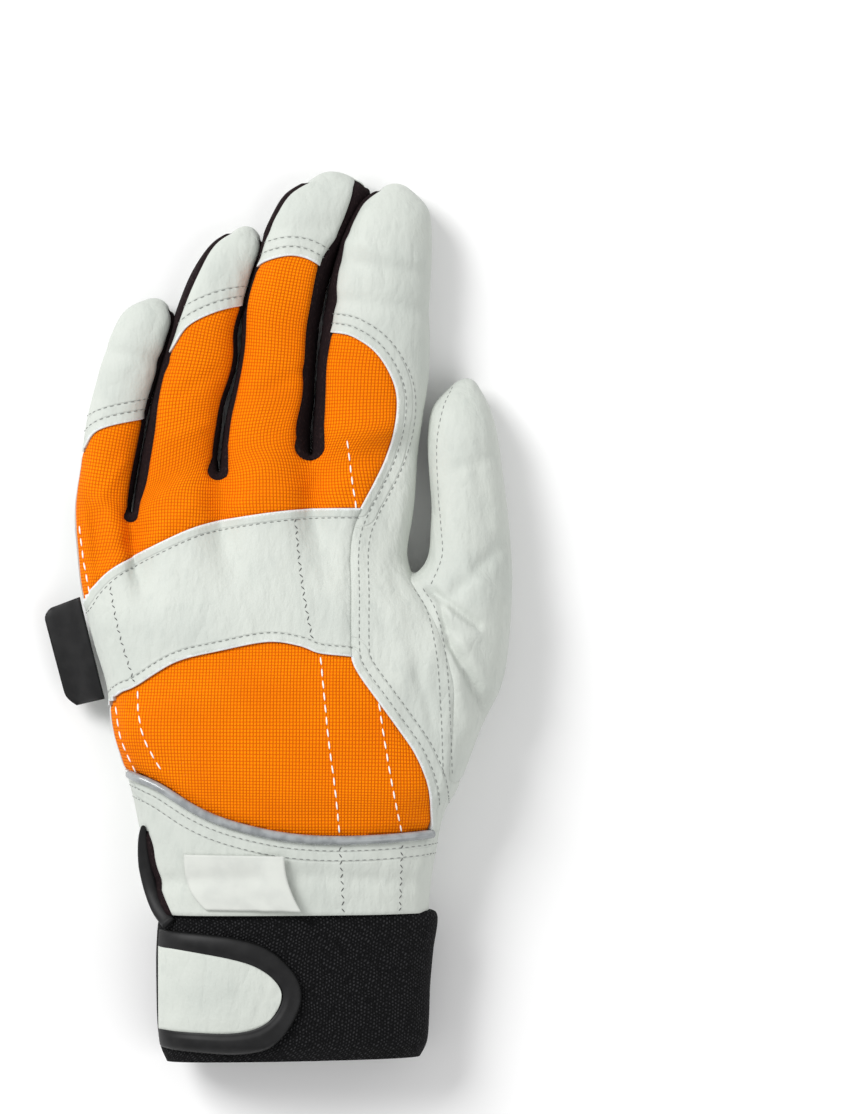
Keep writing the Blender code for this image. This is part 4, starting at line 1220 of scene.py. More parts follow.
@dataclass
class PanelMaker:
    """Turns the cut form into walls with shaped edges.

    Attributes:
        hand: The cut form.
        tree: Outer faces of all finished panels, for laying sewing on them.
        coords: Corners of the form in metres.
        normals: Their normals.
        cloth: Their cloth positions in mm.
        faces: Corner numbers of the form's faces.
        beside: Piece on the left of each directed edge.
        tops: Name, outer corners and faces of each finished panel.
        owners: Piece of each face of the tree.
    """

    hand: Hand
    tree: BVHTree | None = None
    coords: np.ndarray = field(init=False)
    normals: np.ndarray = field(init=False)
    cloth: np.ndarray = field(init=False)
    faces: list[tuple[int, ...]] = field(init=False)
    beside: dict[tuple[int, int], str] = field(init=False)
    tops: list[tuple[str, np.ndarray, list[tuple[int, ...]]]] = field(default_factory=list)
    owners: list[str] = field(default_factory=list)

    def __post_init__(self) -> None:
        """Read the cut form once for all panels."""
        mesh = self.hand.mesh
        layer = mesh.verts.layers.float_vector["cloth"]
        self.coords = np.array([v.co for v in mesh.verts])
        self.normals = np.array([v.normal for v in mesh.verts])
        self.cloth = np.array([v[layer] for v in mesh.verts])[:, :2]
        self.faces = [tuple(v.index for v in f.verts) for f in mesh.faces]
        self.beside = {}
        for corners, name in zip(self.faces, self.hand.piece):
            for a, b in zip(corners, corners[1:] + corners[:1]):
                self.beside[a, b] = name

    def make(self, name: str, panel: Panel) -> Piece:
        """Build one panel.

        Args:
            name: Piece name on the form.
            panel: How it is made.

        Returns:
            The object.
        """
        own = [c for c, piece in zip(self.faces, self.hand.piece) if piece == name]
        used = sorted({i for corners in own for i in corners})
        local = {number: i for i, number in enumerate(used)}
        faces = [tuple(local[i] for i in corners) for corners in own]
        border = [(a, b) for c in own for a, b in zip(c, c[1:] + c[:1])
                  if self.beside.get((b, a)) != name]
        coords, normals = self.coords[used], self.normals[used]
        inward = self.inward(border, local, coords, normals)
        lift = np.full(len(used), panel.lift)
        raw = np.full(len(used), NO_EDGE)
        rims: dict[Slot | None, set[int]] = {}
        for a, b in border:
            if (b, a) in self.beside:
                other = PANELS.get(self.beside[b, a])
                rims.setdefault(other.slot if other else None, set()).update((local[a], local[b]))
        for other, rim in rims.items():
            height, reach = lip(panel.slot, other)
            gap = self.distance(coords, rim)
            lift += height * np.array([1 - smooth(g / reach) for g in gap])
            if other in (Slot.ORANGE, None):
                raw = np.minimum(raw, gap)
        raw = np.minimum(raw, STRAP_EDGE if name == "knuckle_strap" else NO_EDGE)
        outer = coords + normals * (lift * MM)[:, None]
        outer[:, 2] = np.maximum(outer[:, 2], 0.0)
        self.tops.append((name, outer, faces))
        border = [(local[a], local[b]) for a, b in border]
        patch = Patch(outer, normals, inward, faces, border, self.cloth[used], raw)
        return self.wall("look_" + name, panel.wall, patch)

    @staticmethod
    def distance(coords: np.ndarray, rim: Iterable[int]) -> np.ndarray:
        """Distance of each corner to the nearest corner of a rim.

        Args:
            coords: Corners in metres.
            rim: Numbers of the rim's corners.

        Returns:
            Distances in mm.
        """
        rim = list(rim)
        tree = KDTree(len(rim))
        for number in rim:
            tree.insert(coords[number], number)
        tree.balance()
        return np.array([tree.find(c)[2] for c in coords]) / MM

    @staticmethod
    def inward(border: Sequence[tuple[int, int]], local: dict[int, int], coords: np.ndarray,
               normals: np.ndarray) -> np.ndarray:
        """Direction into the panel at each corner of its border.

        Args:
            border: Directed border edges.
            local: Number of each corner within the panel.
            coords: Corners in metres.
            normals: Normals of the corners.

        Returns:
            Unit vectors, zero away from the border.
        """
        total = np.zeros_like(coords)
        for a, b in border:
            i, j = local[a], local[b]
            along = coords[j] - coords[i]
            for k in (i, j):
                total[k] += np.cross(normals[k], along)
        size = np.linalg.norm(total, axis=1)
        return total / np.where(size > 1e-9, size, 1.0)[:, None]

    @staticmethod
    def wall(name: str, thickness: float, patch: Patch) -> Piece:
        """Give a patch its thickness and a rounded rim.

        Args:
            name: Name of the piece.
            thickness: Thickness in mm.
            patch: The patch.

        Returns:
            The object.
        """
        outer, normals, inward = patch.outer, patch.normals, patch.inward
        count = len(outer)
        inner = outer - normals * (thickness * MM) + inward * (INNER_INSET * MM)
        rim = sorted({i for edge in patch.border for i in edge})
        ring = {number: 2 * count + i for i, number in enumerate(rim)}
        side = outer[rim] - normals[rim] * (RIM_DROP * MM) - inward[rim] * (RIM_SWELL * MM)
        coords = np.vstack([outer, inner, side])
        coords[:, 2] = np.maximum(coords[:, 2], 0.0)
        faces = list(patch.faces)
        faces += [tuple(count + i for i in reversed(corners)) for corners in patch.faces]
        for a, b in patch.border:
            faces.append((b, a, ring[a], ring[b]))
            faces.append((ring[b], ring[a], count + a, count + b))
        mesh = bpy.data.meshes.new(name)
        mesh.from_pydata(coords.tolist(), [], faces)
        mark(mesh, np.vstack([patch.cloth, patch.cloth, patch.cloth[rim]]),
             np.concatenate([patch.edge, np.full(count, NO_EDGE), patch.edge[rim]]))
        return new_object(name, mesh)

    def close(self) -> None:
        """Gather the outer faces of all panels once they are made."""
        coords, faces = [], []
        for name, outer, own in self.tops:
            start = len(coords)
            self.owners += [name] * len(own)
            coords += outer.tolist()
            faces += [tuple(start + i for i in corners) for corners in own]
        self.tree = BVHTree.FromPolygons(coords, faces)

    def drop(self, x: float, y: float, height: float, under: bool = False,
             on: Sequence[str] = ()) -> Vector | None:
        """Point on the panels over or under a grid position.

        Args:
            x: Grid x.
            y: Grid y.
            height: Distance from the surface in mm.
            under: Whether the palm side is meant.
            on: Panels that the point may lie on, or none for all.

        Returns:
            The point, or None past the edge.
        """
        start = flat(x, y, UNDER_ALL if under else OVER_ALL)
        hit, normal, number, _ = self.tree.ray_cast(start, Vector((0, 0, 1 if under else -1)))
        if hit is None or (on and self.owners[number] not in on):
            return None
        away = normal if (normal.z > 0) != under else -normal
        return hit + away * (height * MM)


class Graph:
    """Short way to wire the nodes of a tree."""

    def __init__(self, tree: bpy.types.NodeTree) -> None:
        """Take an empty tree."""
        self.nodes = tree.nodes
        self.links = tree.links

    def node(self, kind: str, inputs: dict[str | int, object] | None = None,
             **settings: object) -> bpy.types.Node:
        """Add a node.

        Args:
            kind: Type of the node.
            inputs: Sockets to link and values to set.
            **settings: Properties of the node.

        Returns:
            The node.
        """
        made = self.nodes.new(kind)
        for key, value in settings.items():
            setattr(made, key, value)
        for key, value in (inputs or {}).items():
            self.feed(made.inputs[key], value)
        return made

    def feed(self, socket: Socket, value: object) -> None:
        """Link a socket, or set its value.

        Args:
            socket: The input.
            value: Another node's output or a constant.
        """
        if isinstance(value, Socket):
            self.links.new(value, socket)
        else:
            socket.default_value = value

    def math(self, kind: str, *operands: object) -> Socket:
        """Add a math node."""
        return self.node("ShaderNodeMath", dict(enumerate(operands)), operation=kind).outputs[0]


class Surface(Graph):
    """Short way to wire the nodes of a material."""

    def __init__(self, name: str) -> None:
        """Start an empty material with one Principled shader.

        Args:
            name: Name of the material.
        """
        self.material = bpy.data.materials.new(name)
        self.material.use_nodes = True
        self.material.node_tree.nodes.clear()
        super().__init__(self.material.node_tree)
        self.shader = self.node("ShaderNodeBsdfPrincipled")
        self.node("ShaderNodeOutputMaterial", {0: self.shader.outputs[0]})

    def place(self, stretch: tuple[float, float, float] = (1, 1, 1)) -> Socket:
        """Object coordinates."""
        source = self.node("ShaderNodeTexCoord").outputs["Object"]
        return self.node("ShaderNodeMapping", {"Vector": source, "Scale": stretch}).outputs[0]

    def noise(self, vector: object, scale: float, detail: float = 2.0) -> Socket:
        """Add a noise texture."""
        made = self.node("ShaderNodeTexNoise", {"Vector": vector, "Scale": scale, "Detail": detail})
        return made.outputs[0]

    def ramp(self, value: object, low: float, high: float, a: float = 0.0,
             b: float = 1.0) -> Socket:
        """Map a range softly on to another.

        Args:
            value: Input.
            low: Input that gives a.
            high: Input that gives b.
            a: First result.
            b: Last result.

        Returns:
            The mapped value.
        """
        made = self.node("ShaderNodeMapRange", {0: value, 1: low, 2: high, 3: a, 4: b},
                         interpolation_type="SMOOTHSTEP")
        return made.outputs[0]

    def mix(self, share: object, a: object, b: object) -> Socket:
        """Mix two colours.

        Args:
            share: How much of the second.
            a: First colour.
            b: Second colour.

        Returns:
            The colour.
        """
        made = self.node("ShaderNodeMix", data_type="RGBA")
        self.feed(made.inputs[0], share)
        self.feed(made.inputs[6], a)
        self.feed(made.inputs[7], b)
        return made.outputs[2]

    def bump(self, height: object, depth: float, strength: float = 1.0,
             before: object = None) -> Socket:
        """Add a bump.

        Args:
            height: Height from 0 to 1.
            depth: Depth in metres.
            strength: Strength.
            before: Normal to build on.

        Returns:
            The normal.
        """
        inputs = {"Height": height, "Distance": depth, "Strength": strength}
        if before is not None:
            inputs["Normal"] = before
        return self.node("ShaderNodeBump", inputs).outputs[0]

    def finish(self, **values: object) -> Material:
        """Set the shader's sockets.

        Args:
            **values: Socket names with underscores for blanks.

        Returns:
            The material.
        """
        for key, value in values.items():
            self.feed(self.shader.inputs[key.replace("_", " ")], value)
        return self.material


@dataclass(frozen=True)
class LeatherFinish:
    """White grain leather with raw cut edges.

    Attributes:
        light: Colour of the high grain.
        shade: Darker tone of the random patches, also mixed in along the fine wrinkles as painted shade.
        raw: Colour of a cut edge.
        rows: Distance of the sewing from a raw edge in mm.
    """

    light: Colour = (0.575, 0.605, 0.56, 1)
    shade: Colour = (0.48, 0.515, 0.48, 1)
    raw: Colour = (0.72, 0.75, 0.76, 1)
    rows: tuple[float, float] = (2.7, 5.6)

    def build(self) -> Material:
        """Make the material.

        Returns:
            The material.
        """
        g = Surface("white_leather")
        place = g.place()
        patches = g.ramp(g.noise(place, 38.0, 4.0), 0.35, 0.7)
        wrinkles = g.noise(g.place((1.0, 0.35, 1.0)), 420.0, 3.0)
        pores = g.node("ShaderNodeTexVoronoi", {"Vector": place, "Scale": 1250.0}).outputs[0]
        edge = g.node("ShaderNodeAttribute", attribute_name="edge_mm").outputs["Fac"]
        fuzz = g.math("ADD", edge, g.ramp(g.noise(place, 2600.0, 2.0), 0.2, 0.8, -0.35, 0.35))
        colour = g.mix(g.math("MULTIPLY", patches, 0.55), self.light, self.shade)
        # painted shade: the fine wrinkle pattern pulls the colour up to 0.4 of the way to the shade tone
        colour = g.mix(g.ramp(wrinkles, 0.56, 0.74, 0.0, 0.4), colour, self.shade)
        colour = g.mix(g.ramp(fuzz, 0.15, 0.65, 1.0, 0.0), colour, self.raw)
        creases = g.noise(g.place((1.0, 0.45, 1.0)), 95.0, 4.0)
        normal = g.bump(g.math("ABSOLUTE", g.math("SUBTRACT", creases, 0.5)), 0.0035, 0.5)
        normal = g.bump(wrinkles, 0.00045, 0.6, normal)
        normal = g.bump(pores, 0.00007, 0.5, normal)
        grooves = g.math("ADD", *(g.ramp(g.math("ABSOLUTE", g.math("SUBTRACT", edge, row)),
                                         0.0, 0.55, 0.0, 1.0) for row in self.rows))
        normal = g.bump(grooves, 0.00022, 0.8, normal)
        return g.finish(Base_Color=colour, Roughness=0.62, Normal=normal, Specular_IOR_Level=0.35,
                        Sheen_Weight=0.08)


@dataclass(frozen=True)
class WeaveFinish:
    """Woven cloth of small square pillows.

    Attributes:
        bright: Colour of the yarn's crown, a painted highlight on the raised yarn.
        dark: Colour between the yarns, painted shade in the gaps; also the tone of the soft random
            blotches.
        pitch: Distance of the yarns in mm.
    """

    bright: Colour = (1.0, 0.262, 0.0, 1)
    dark: Colour = (0.72, 0.118, 0.0, 1)
    pitch: float = 0.98

    def build(self) -> Material:
        """Make the material.

        Returns:
            The material.
        """
        g = Surface("orange_weave")
        uv = g.node("ShaderNodeUVMap", uv_map="cloth").outputs[0]
        split = g.node("ShaderNodeSeparateXYZ", {0: uv})
        waves = []
        for axis in (0, 1):
            turn = g.math("MULTIPLY", split.outputs[axis], math.pi / self.pitch)
            waves.append(g.math("ABSOLUTE", g.math("SINE", turn)))
        pillow = g.math("POWER", g.math("MULTIPLY", *waves), 0.55)
        tilt = g.math("SUBTRACT", waves[0], waves[1])
        soft = g.ramp(g.noise(g.place(), 55.0, 3.0), 0.3, 0.75)
        fibre = g.noise(g.place(), 2400.0, 2.0)
        # painted highlight on the yarn crowns and painted shade between the yarns: the pillow relief sets
        # how far the colour goes from dark to bright
        share = g.math("MULTIPLY", g.ramp(pillow, 0.25, 0.85), g.ramp(fibre, 0.2, 0.6, 0.72, 1.0))
        colour = g.mix(share, self.dark, self.bright)
        colour = g.mix(g.math("MULTIPLY", soft, 0.25), colour, self.dark)
        normal = g.bump(pillow, 0.00026, 0.9)
        normal = g.bump(tilt, 0.00006, 0.5, normal)
        return g.finish(Base_Color=colour, Roughness=0.85, Normal=normal, Specular_IOR_Level=0.08)


@dataclass(frozen=True)
class ClothFinish:
    """Dark brushed cloth.

    Attributes:
        name: Name of the material.
        colour: Colour.
        fleck: Colour of the fibres on top.
        scale: Fineness of the fibres.
    """

    name: str = "black_fabric"
    colour: Colour = (0.011, 0.006, 0.007, 1)
    fleck: Colour = (0.03, 0.018, 0.018, 1)
    scale: float = 1900.0

    def build(self) -> Material:
        """Make the material.

        Returns:
            The material.
        """
        g = Surface(self.name)
        fibre = g.noise(g.place((1.0, 0.6, 1.0)), self.scale, 3.0)
        colour = g.mix(g.ramp(fibre, 0.5, 0.75), self.colour, self.fleck)
        return g.finish(Base_Color=colour, Roughness=0.9, Normal=g.bump(fibre, 0.0002, 0.8),
                        Specular_IOR_Level=0.12)


@dataclass(frozen=True)
class KnitFinish:
    """Ribbed knit with a lighter loop on each stitch.

    Attributes:
        dark: Colour between the ribs.
        loop: Colour of the loops.
        rib: Distance of the ribs in mm.
        course: Distance of the loops along a rib in mm.
    """

    dark: Colour = (0.004, 0.004, 0.0045, 1)
    loop: Colour = (0.034, 0.034, 0.036, 1)
    rib: float = 0.95
    course: float = 1.15

    def build(self) -> Material:
        """Make the material.

        Returns:
            The material.
        """
        g = Surface("black_knit")
        uv = g.node("ShaderNodeUVMap", uv_map="cloth").outputs[0]
        split = g.node("ShaderNodeSeparateXYZ", {0: uv})
        wobble = g.ramp(g.noise(g.place(), 260.0, 2.0), 0.2, 0.8, -0.35, 0.35)
        across = g.math("DIVIDE", g.math("ADD", split.outputs[0], wobble), self.rib)
        along = g.math("DIVIDE", g.math("ADD", split.outputs[1], wobble), self.course)
        shift = g.math("MULTIPLY", g.math("FLOOR", across), 0.5)
        rib = g.math("ABSOLUTE", g.math("SINE", g.math("MULTIPLY", across, math.pi)))
        loop = g.math("ABSOLUTE", g.math("SINE", g.math("MULTIPLY", g.math("ADD", along, shift), math.pi)))
        knot = g.math("MULTIPLY", rib, loop)
        speck = g.math("MULTIPLY", g.ramp(knot, 0.35, 0.95), g.ramp(g.noise(g.place(), 900.0), 0.34, 0.6))
        colour = g.mix(speck, self.dark, self.loop)
        normal = g.bump(knot, 0.0005, 0.9)
        return g.finish(Base_Color=colour, Roughness=0.85, Normal=normal, Specular_IOR_Level=0.12)


@dataclass(frozen=True)
class SmoothFinish:
    """Smooth material with faint unevenness, such as rubbery tape, piping or thread.

    Attributes:
        name: Name of the material.
        colour: Colour.
        shade: Colour of the unevenness.
        roughness: Roughness.
        scale: Scale of the unevenness.
        depth: Depth of the unevenness in metres.
        coat: Weight of a clear coat.
        shine: Strength of the plain reflection.
    """

    name: str
    colour: Colour
    shade: Colour
    roughness: float
    scale: float = 260.0
    depth: float = 0.0001
    coat: float = 0.0
    shine: float = 0.25

    def build(self) -> Material:
        """Make the material.

        Returns:
            The material.
        """
        g = Surface(self.name)
        wave = g.noise(g.place(), self.scale, 3.0)
        colour = g.mix(g.ramp(wave, 0.35, 0.7), self.colour, self.shade)
        return g.finish(Base_Color=colour, Roughness=self.roughness, Coat_Weight=self.coat,
                        Normal=g.bump(wave, self.depth, 0.6), Specular_IOR_Level=self.shine)


RUBBER = SmoothFinish("black_binding", (0.0075, 0.0075, 0.008, 1), (0.012, 0.012, 0.0125, 1), 0.5)
PIPING = SmoothFinish("grey_piping", (0.34, 0.36, 0.37, 1), (0.22, 0.235, 0.245, 1), 0.26, 300, 0.0001, 0.4,
                      0.5)
LABEL = SmoothFinish("label_cloth", (0.62, 0.64, 0.60, 1), (0.58, 0.60, 0.565, 1), 0.7, 200, 0.00003)
WHITE_THREAD = SmoothFinish("white_thread", (0.95, 0.95, 0.93, 1), (0.85, 0.85, 0.83, 1), 0.6, 2500)
GREY_THREAD = SmoothFinish("grey_thread", (0.27, 0.28, 0.27, 1), (0.19, 0.20, 0.19, 1), 0.7, 2500)
DARK_THREAD = SmoothFinish("dark_thread", (0.12, 0.12, 0.12, 1), (0.06, 0.06, 0.06, 1), 0.7, 2500)
FLOOR = SmoothFinish("floor", (0.93, 0.93, 0.93, 1), (0.92, 0.92, 0.92, 1), 0.9, 20.0, 0.00001)


@dataclass(frozen=True)
class Stitch:
    """Form of the stitches in a row.

    Attributes:
        height: Distance of the row from the surface in mm.
        pitch: Distance of the stitches in mm.
        length: Length of a stitch in mm.
        radius: Radius of the thread in mm.
        zigzag: Slant of the stitches in radians.
    """

    height: float
    pitch: float
    length: float
    radius: float
    zigzag: float = 0.0


PANEL_STITCH = Stitch(0.12, 3.6, 2.7, 0.27)
LEATHER_STITCH = Stitch(0.03, 2.1, 1.35, 0.15)
ZIGZAG_STITCH = Stitch(0.04, 1.9, 1.5, 0.16, 0.6)
# random turn of each stitch in radians, its seed, and the longest step within a row in metres
STRAY = 0.06
STRAY_SEED = 7
LONGEST_STEP = 12 * MM
# distance in grid units between the two rows round the thumb
DOUBLE_ROW = 9


@dataclass
class Sewing:
    """Rows of stitches laid on the panels by one geometry nodes tree.

    Attributes:
        maker: The panels to lay on.
        tree: The tree, built once.
    """

    maker: PanelMaker
    tree: bpy.types.NodeTree = field(init=False)

    INPUTS = (("Pitch", "NodeSocketFloat"), ("Length", "NodeSocketFloat"), ("Radius", "NodeSocketFloat"),
              ("Zigzag", "NodeSocketFloat"), ("Seed", "NodeSocketInt"), ("Thread", "NodeSocketMaterial"))

    def __post_init__(self) -> None:
        """Make the tree: beads along a line, each turned along it and laid level."""
        self.tree = bpy.data.node_groups.new("stitch_rows", "GeometryNodeTree")
        face = self.tree.interface
        face.new_socket("Geometry", in_out="INPUT", socket_type="NodeSocketGeometry")
        for name, kind in self.INPUTS:
            face.new_socket(name, in_out="INPUT", socket_type=kind)
        face.new_socket("Geometry", in_out="OUTPUT", socket_type="NodeSocketGeometry")
        g = Graph(self.tree)
        source = g.node("NodeGroupInput").outputs
        curve = g.node("GeometryNodeMeshToCurve", {0: source["Geometry"]})
        spread = g.node("GeometryNodeResampleCurve", {"Curve": curve.outputs[0], "Length": source["Pitch"]},
                        mode="LENGTH")
        tangent = g.node("GeometryNodeInputTangent").outputs[0]
        aim = g.node("FunctionNodeAlignRotationToVector", {"Vector": tangent}, axis="X")
        level = g.node("FunctionNodeAlignRotationToVector",
                       {"Rotation": aim.outputs[0], "Vector": (0, 0, 1)}, axis="Z", pivot_axis="X")
        index = g.node("GeometryNodeInputIndex").outputs[0]
        odd = g.math("MULTIPLY_ADD", g.math("MODULO", index, 2.0), 2.0, -1.0)
        stray = g.node("FunctionNodeRandomValue", {"Seed": source["Seed"], 2: -STRAY, 3: STRAY},
                       data_type="FLOAT")
        turn = g.math("ADD", g.math("MULTIPLY", odd, source["Zigzag"]), stray.outputs[1])
        about = g.node("FunctionNodeAxisAngleToRotation", {"Axis": (0, 0, 1), "Angle": turn})
        rotate = g.node("FunctionNodeRotateRotation", {0: level.outputs[0], 1: about.outputs[0]},
                        rotation_space="LOCAL")
        bead = g.node("GeometryNodeMeshUVSphere", {"Segments": 8, "Rings": 6, "Radius": 1.0})
        half = g.math("MULTIPLY", source["Length"], 0.5)
        size = g.node("ShaderNodeCombineXYZ", {0: half, 1: source["Radius"], 2: source["Radius"]})
        copies = g.node("GeometryNodeInstanceOnPoints", {
            "Points": spread.outputs[0], "Instance": bead.outputs[0], "Rotation": rotate.outputs[0],
            "Scale": size.outputs[0]})
        real = g.node("GeometryNodeRealizeInstances", {0: copies.outputs[0]})
        dressed = g.node("GeometryNodeSetMaterial", {"Geometry": real.outputs[0],
                                                     "Material": source["Thread"]})
        g.node("NodeGroupOutput", {0: dressed.outputs[0]})

    def row(self, knots: Sequence[Sequence[float]], height: float, *on: str,
            under: bool = False) -> list[list[Vector]]:
        """Lay a grid line on the panels.

        Args:
            knots: Grid points.
            height: Distance from the surface in mm.
            *on: Panels that it keeps to.
            under: Whether the palm side is meant.

        Returns:
            Runs of points, more than one where the line leaves the glove.
        """
        runs: list[list[Vector]] = [[]]
        for x, y in curve_points(knots, 8):
            point = self.maker.drop(x, y, height, under, on)
            broken = point is None or (runs[-1] and (runs[-1][-1] - point).length > LONGEST_STEP)
            if broken and runs[-1]:
                runs.append([])
            if point is not None:
                runs[-1].append(point)
        return [run for run in runs if len(run) > 1]

    def sew(self, name: str, runs: Sequence[list[Vector]], thread: Material,
            stitch: Stitch) -> Piece:
        """Make the stitches of some rows as one plain mesh.

        Args:
            name: Name of the piece.
            runs: Rows of points.
            thread: Finish of the thread.
            stitch: Form of the stitches.

        Returns:
            The object.
        """
        points, edges = [], []
        for run in runs:
            edges += [(len(points) + i, len(points) + i + 1) for i in range(len(run) - 1)]
            points += [tuple(p) for p in run]
        line = bpy.data.meshes.new(name)
        line.from_pydata(points, edges, [])
        piece = bpy.data.objects.new(name, line)
        bpy.context.collection.objects.link(piece)
        nodes = piece.modifiers.new("stitches", "NODES")
        nodes.node_group = self.tree
        values = {"Pitch": stitch.pitch * MM, "Length": stitch.length * MM, "Radius": stitch.radius * MM,
                  "Zigzag": stitch.zigzag, "Seed": STRAY_SEED, "Thread": thread}
        for item in self.tree.interface.items_tree:
            if item.in_out == "INPUT" and item.name in values:
                nodes[item.identifier] = values[item.name]
        graph = bpy.context.evaluated_depsgraph_get()
        made = bpy.data.meshes.new_from_object(piece.evaluated_get(graph))
        piece.modifiers.clear()
        piece.data = made
        made.shade_smooth()
        bpy.data.meshes.remove(line)
        return piece


def sheet_piece(name: str, rows: Sequence[Sequence[Vector]], wall: float, closed: bool = False,
                places: Sequence[Sequence[tuple[float, float]]] | None = None) -> Piece:
    """Wall over a grid of points, its first side up or out.

    Args:
        name: Name of the piece.
        rows: Points of the outer side.
        wall: Thickness in mm.
        closed: Whether each row joins its own start.
        places: Cloth position of each point in mm.

    Returns:
        The object.
    """
    height, width = len(rows), len(rows[0])
    outer = np.array([[tuple(p) for p in row] for row in rows])
    across = np.roll(outer, -1, 1) - np.roll(outer, 1, 1) if closed else np.gradient(outer, axis=1)
    normals = np.cross(across, np.gradient(outer, axis=0))
    normals /= np.linalg.norm(normals, axis=2)[:, :, None] + 1e-15
    top = np.unravel_index(np.argmax(outer[:, :, 2]), outer.shape[:2])
    flipped = normals[top][2] < 0
    if flipped:
        normals = -normals
    coords = np.vstack([outer.reshape(-1, 3), (outer - normals * wall * MM).reshape(-1, 3)])
    coords[:, 2] = np.maximum(coords[:, 2], 0.0)
    count = height * width
    faces = []
    spans = width if closed else width - 1
    for r in range(height - 1):
        for c in range(spans):
            a, b = r * width + c, r * width + (c + 1) % width
            quad = (a, b, b + width, a + width)
            faces.append(quad[::-1] if flipped else quad)
            low = tuple(count + i for i in quad)
            faces.append(low if flipped else low[::-1])
    rim = [(c, (c + 1) % width) for c in range(spans)]
    rim += [((height - 1) * width + (c + 1) % width, (height - 1) * width + c) for c in range(spans)]
    if not closed:
        rim += [((r + 1) * width, r * width) for r in range(height - 1)]
        rim += [(r * width + width - 1, (r + 1) * width + width - 1) for r in range(height - 1)]
    for a, b in rim:
        quad = (b, a, count + a, count + b)
        faces.append(quad[::-1] if flipped else quad)
    mesh = bpy.data.meshes.new(name)
    mesh.from_pydata(coords.tolist(), [], faces)
    uv = np.array(places if places is not None else [[(c, r) for c in range(width)] for r in range(height)])
    mark(mesh, np.vstack([uv.reshape(-1, 2)] * 2).astype(float), np.full(len(coords), NO_EDGE))
    return new_object(name, mesh)


@dataclass
class Cuff:
    """Knit cuff with its closing tab.

    Attributes:
        around: Points round a row.
        levels: Rows to each span of the cuff's table.
        tab_wall: Thickness of the tab in mm.
        binding_wall: Thickness of the tape round it in mm.
        clearance: Gap under the tab and its tape in mm.
        smooth_rows: Rows at the upper end that stay even.
        fade_rows: Rows over which the unevenness sets in.
    """

    around: int = 240
    levels: int = 8
    tab_wall: float = 1.8
    binding_wall: float = 2.4
    clearance: float = 0.35
    smooth_rows: int = 12
    fade_rows: int = 8

    def knit(self) -> Piece:
        """Build the knit tube.

        Returns:
            The object.
        """
        rows, places = [], []
        down = 0.0
        last = None
        for k, station in enumerate(curve_points(CUFF, self.levels)):
            row, place = [], []
            run = 0.0
            for i in range(self.around):
                angle = 2 * math.pi * (i + 0.5) / self.around
                point = section(station, angle, CUFF_POWER)
                wave = noise.noise(Vector((point.x * 60, point.y * 18, point.z * 60)))
                side = Vector((math.cos(angle), 0, math.sin(angle)))
                point += side * (0.5 * wave * MM * smooth((k - self.smooth_rows) / self.fade_rows))
                point.z = max(0.0, point.z)
                if row:
                    run += (point - row[-1]).length / MM
                row.append(point)
                place.append((run, down))
            if last is not None:
                down += (row[self.around // 4] - last).length / MM
                place = [(u, down) for u, _ in place]
            last = row[self.around // 4]
            rows.append(row)
            places.append(place)
        return sheet_piece("look_cuff", rows, 2.2, True, places)

    def top(self, x: float, y: float) -> Vector:
        """Point of the cuff's back over a grid position.

        Args:
            x: Grid x.
            y: Grid y.

        Returns:
            The point.
        """
        k = max((i for i in range(len(CUFF) - 1) if CUFF[i][1] <= y), default=0)
        share = min(1.0, max(0.0, (y - CUFF[k][1]) / (CUFF[k + 1][1] - CUFF[k][1])))
        station = [between(a, b, share) for a, b in zip(CUFF[k], CUFF[k + 1])]
        value = min(1.0, max(-1.0, 2 * (x - station[0]) / (station[2] - station[0]) - 1))
        angle = math.acos(math.copysign(abs(value) ** (CUFF_POWER / 2), value))
        point = section(station, angle, CUFF_POWER)
        return flat(grid_of(point)[0], y, max(0.0, point.z))

    def binding(self) -> Piece:
        """Build the tape round the tab with its rounded profile.

        Returns:
            The object.
        """
        outer, inner = curve_points(TAB_OUTER, 6), curve_points(TAB_INNER, 6)
        rows = []
        for i in range(13):
            share = i / 12
            bulge = self.clearance + 1.2 + (self.binding_wall - 1.0) * math.sin(math.pi * share) ** 0.5
            row = []
            for p, q in zip(outer, inner):
                spot = self.top(between(p[0], q[0], share), between(p[1], q[1], share))
                crease = 0.25 * math.exp(-(((share - 0.78) / 0.07) ** 2))
                row.append(spot + Vector((0, 0, (bulge - crease) * MM)))
            rows.append(row)
        return sheet_piece("look_closure_binding", rows, 1.3)

    def tab(self) -> Piece:
        """Build the leather tab.

        Returns:
            The object.
        """
        inner = curve_points(TAB_INNER, 6)
        half = len(inner) // 2
        rows = []
        for k in range(half):
            top, foot = inner[k], inner[-1 - k]
            row = []
            for i in range(25):
                share = between(-0.03, 1.03, i / 24)
                spot = self.top(*(between(a, b, share) for a, b in zip(top, foot)))
                puff = 0.25 * math.sin(math.pi * i / 24) ** 0.5
                row.append(spot + Vector((0, 0, (self.clearance + self.tab_wall + puff) * MM)))
            rows.append(row)
        return sheet_piece("look_closure_tab", rows, self.tab_wall)


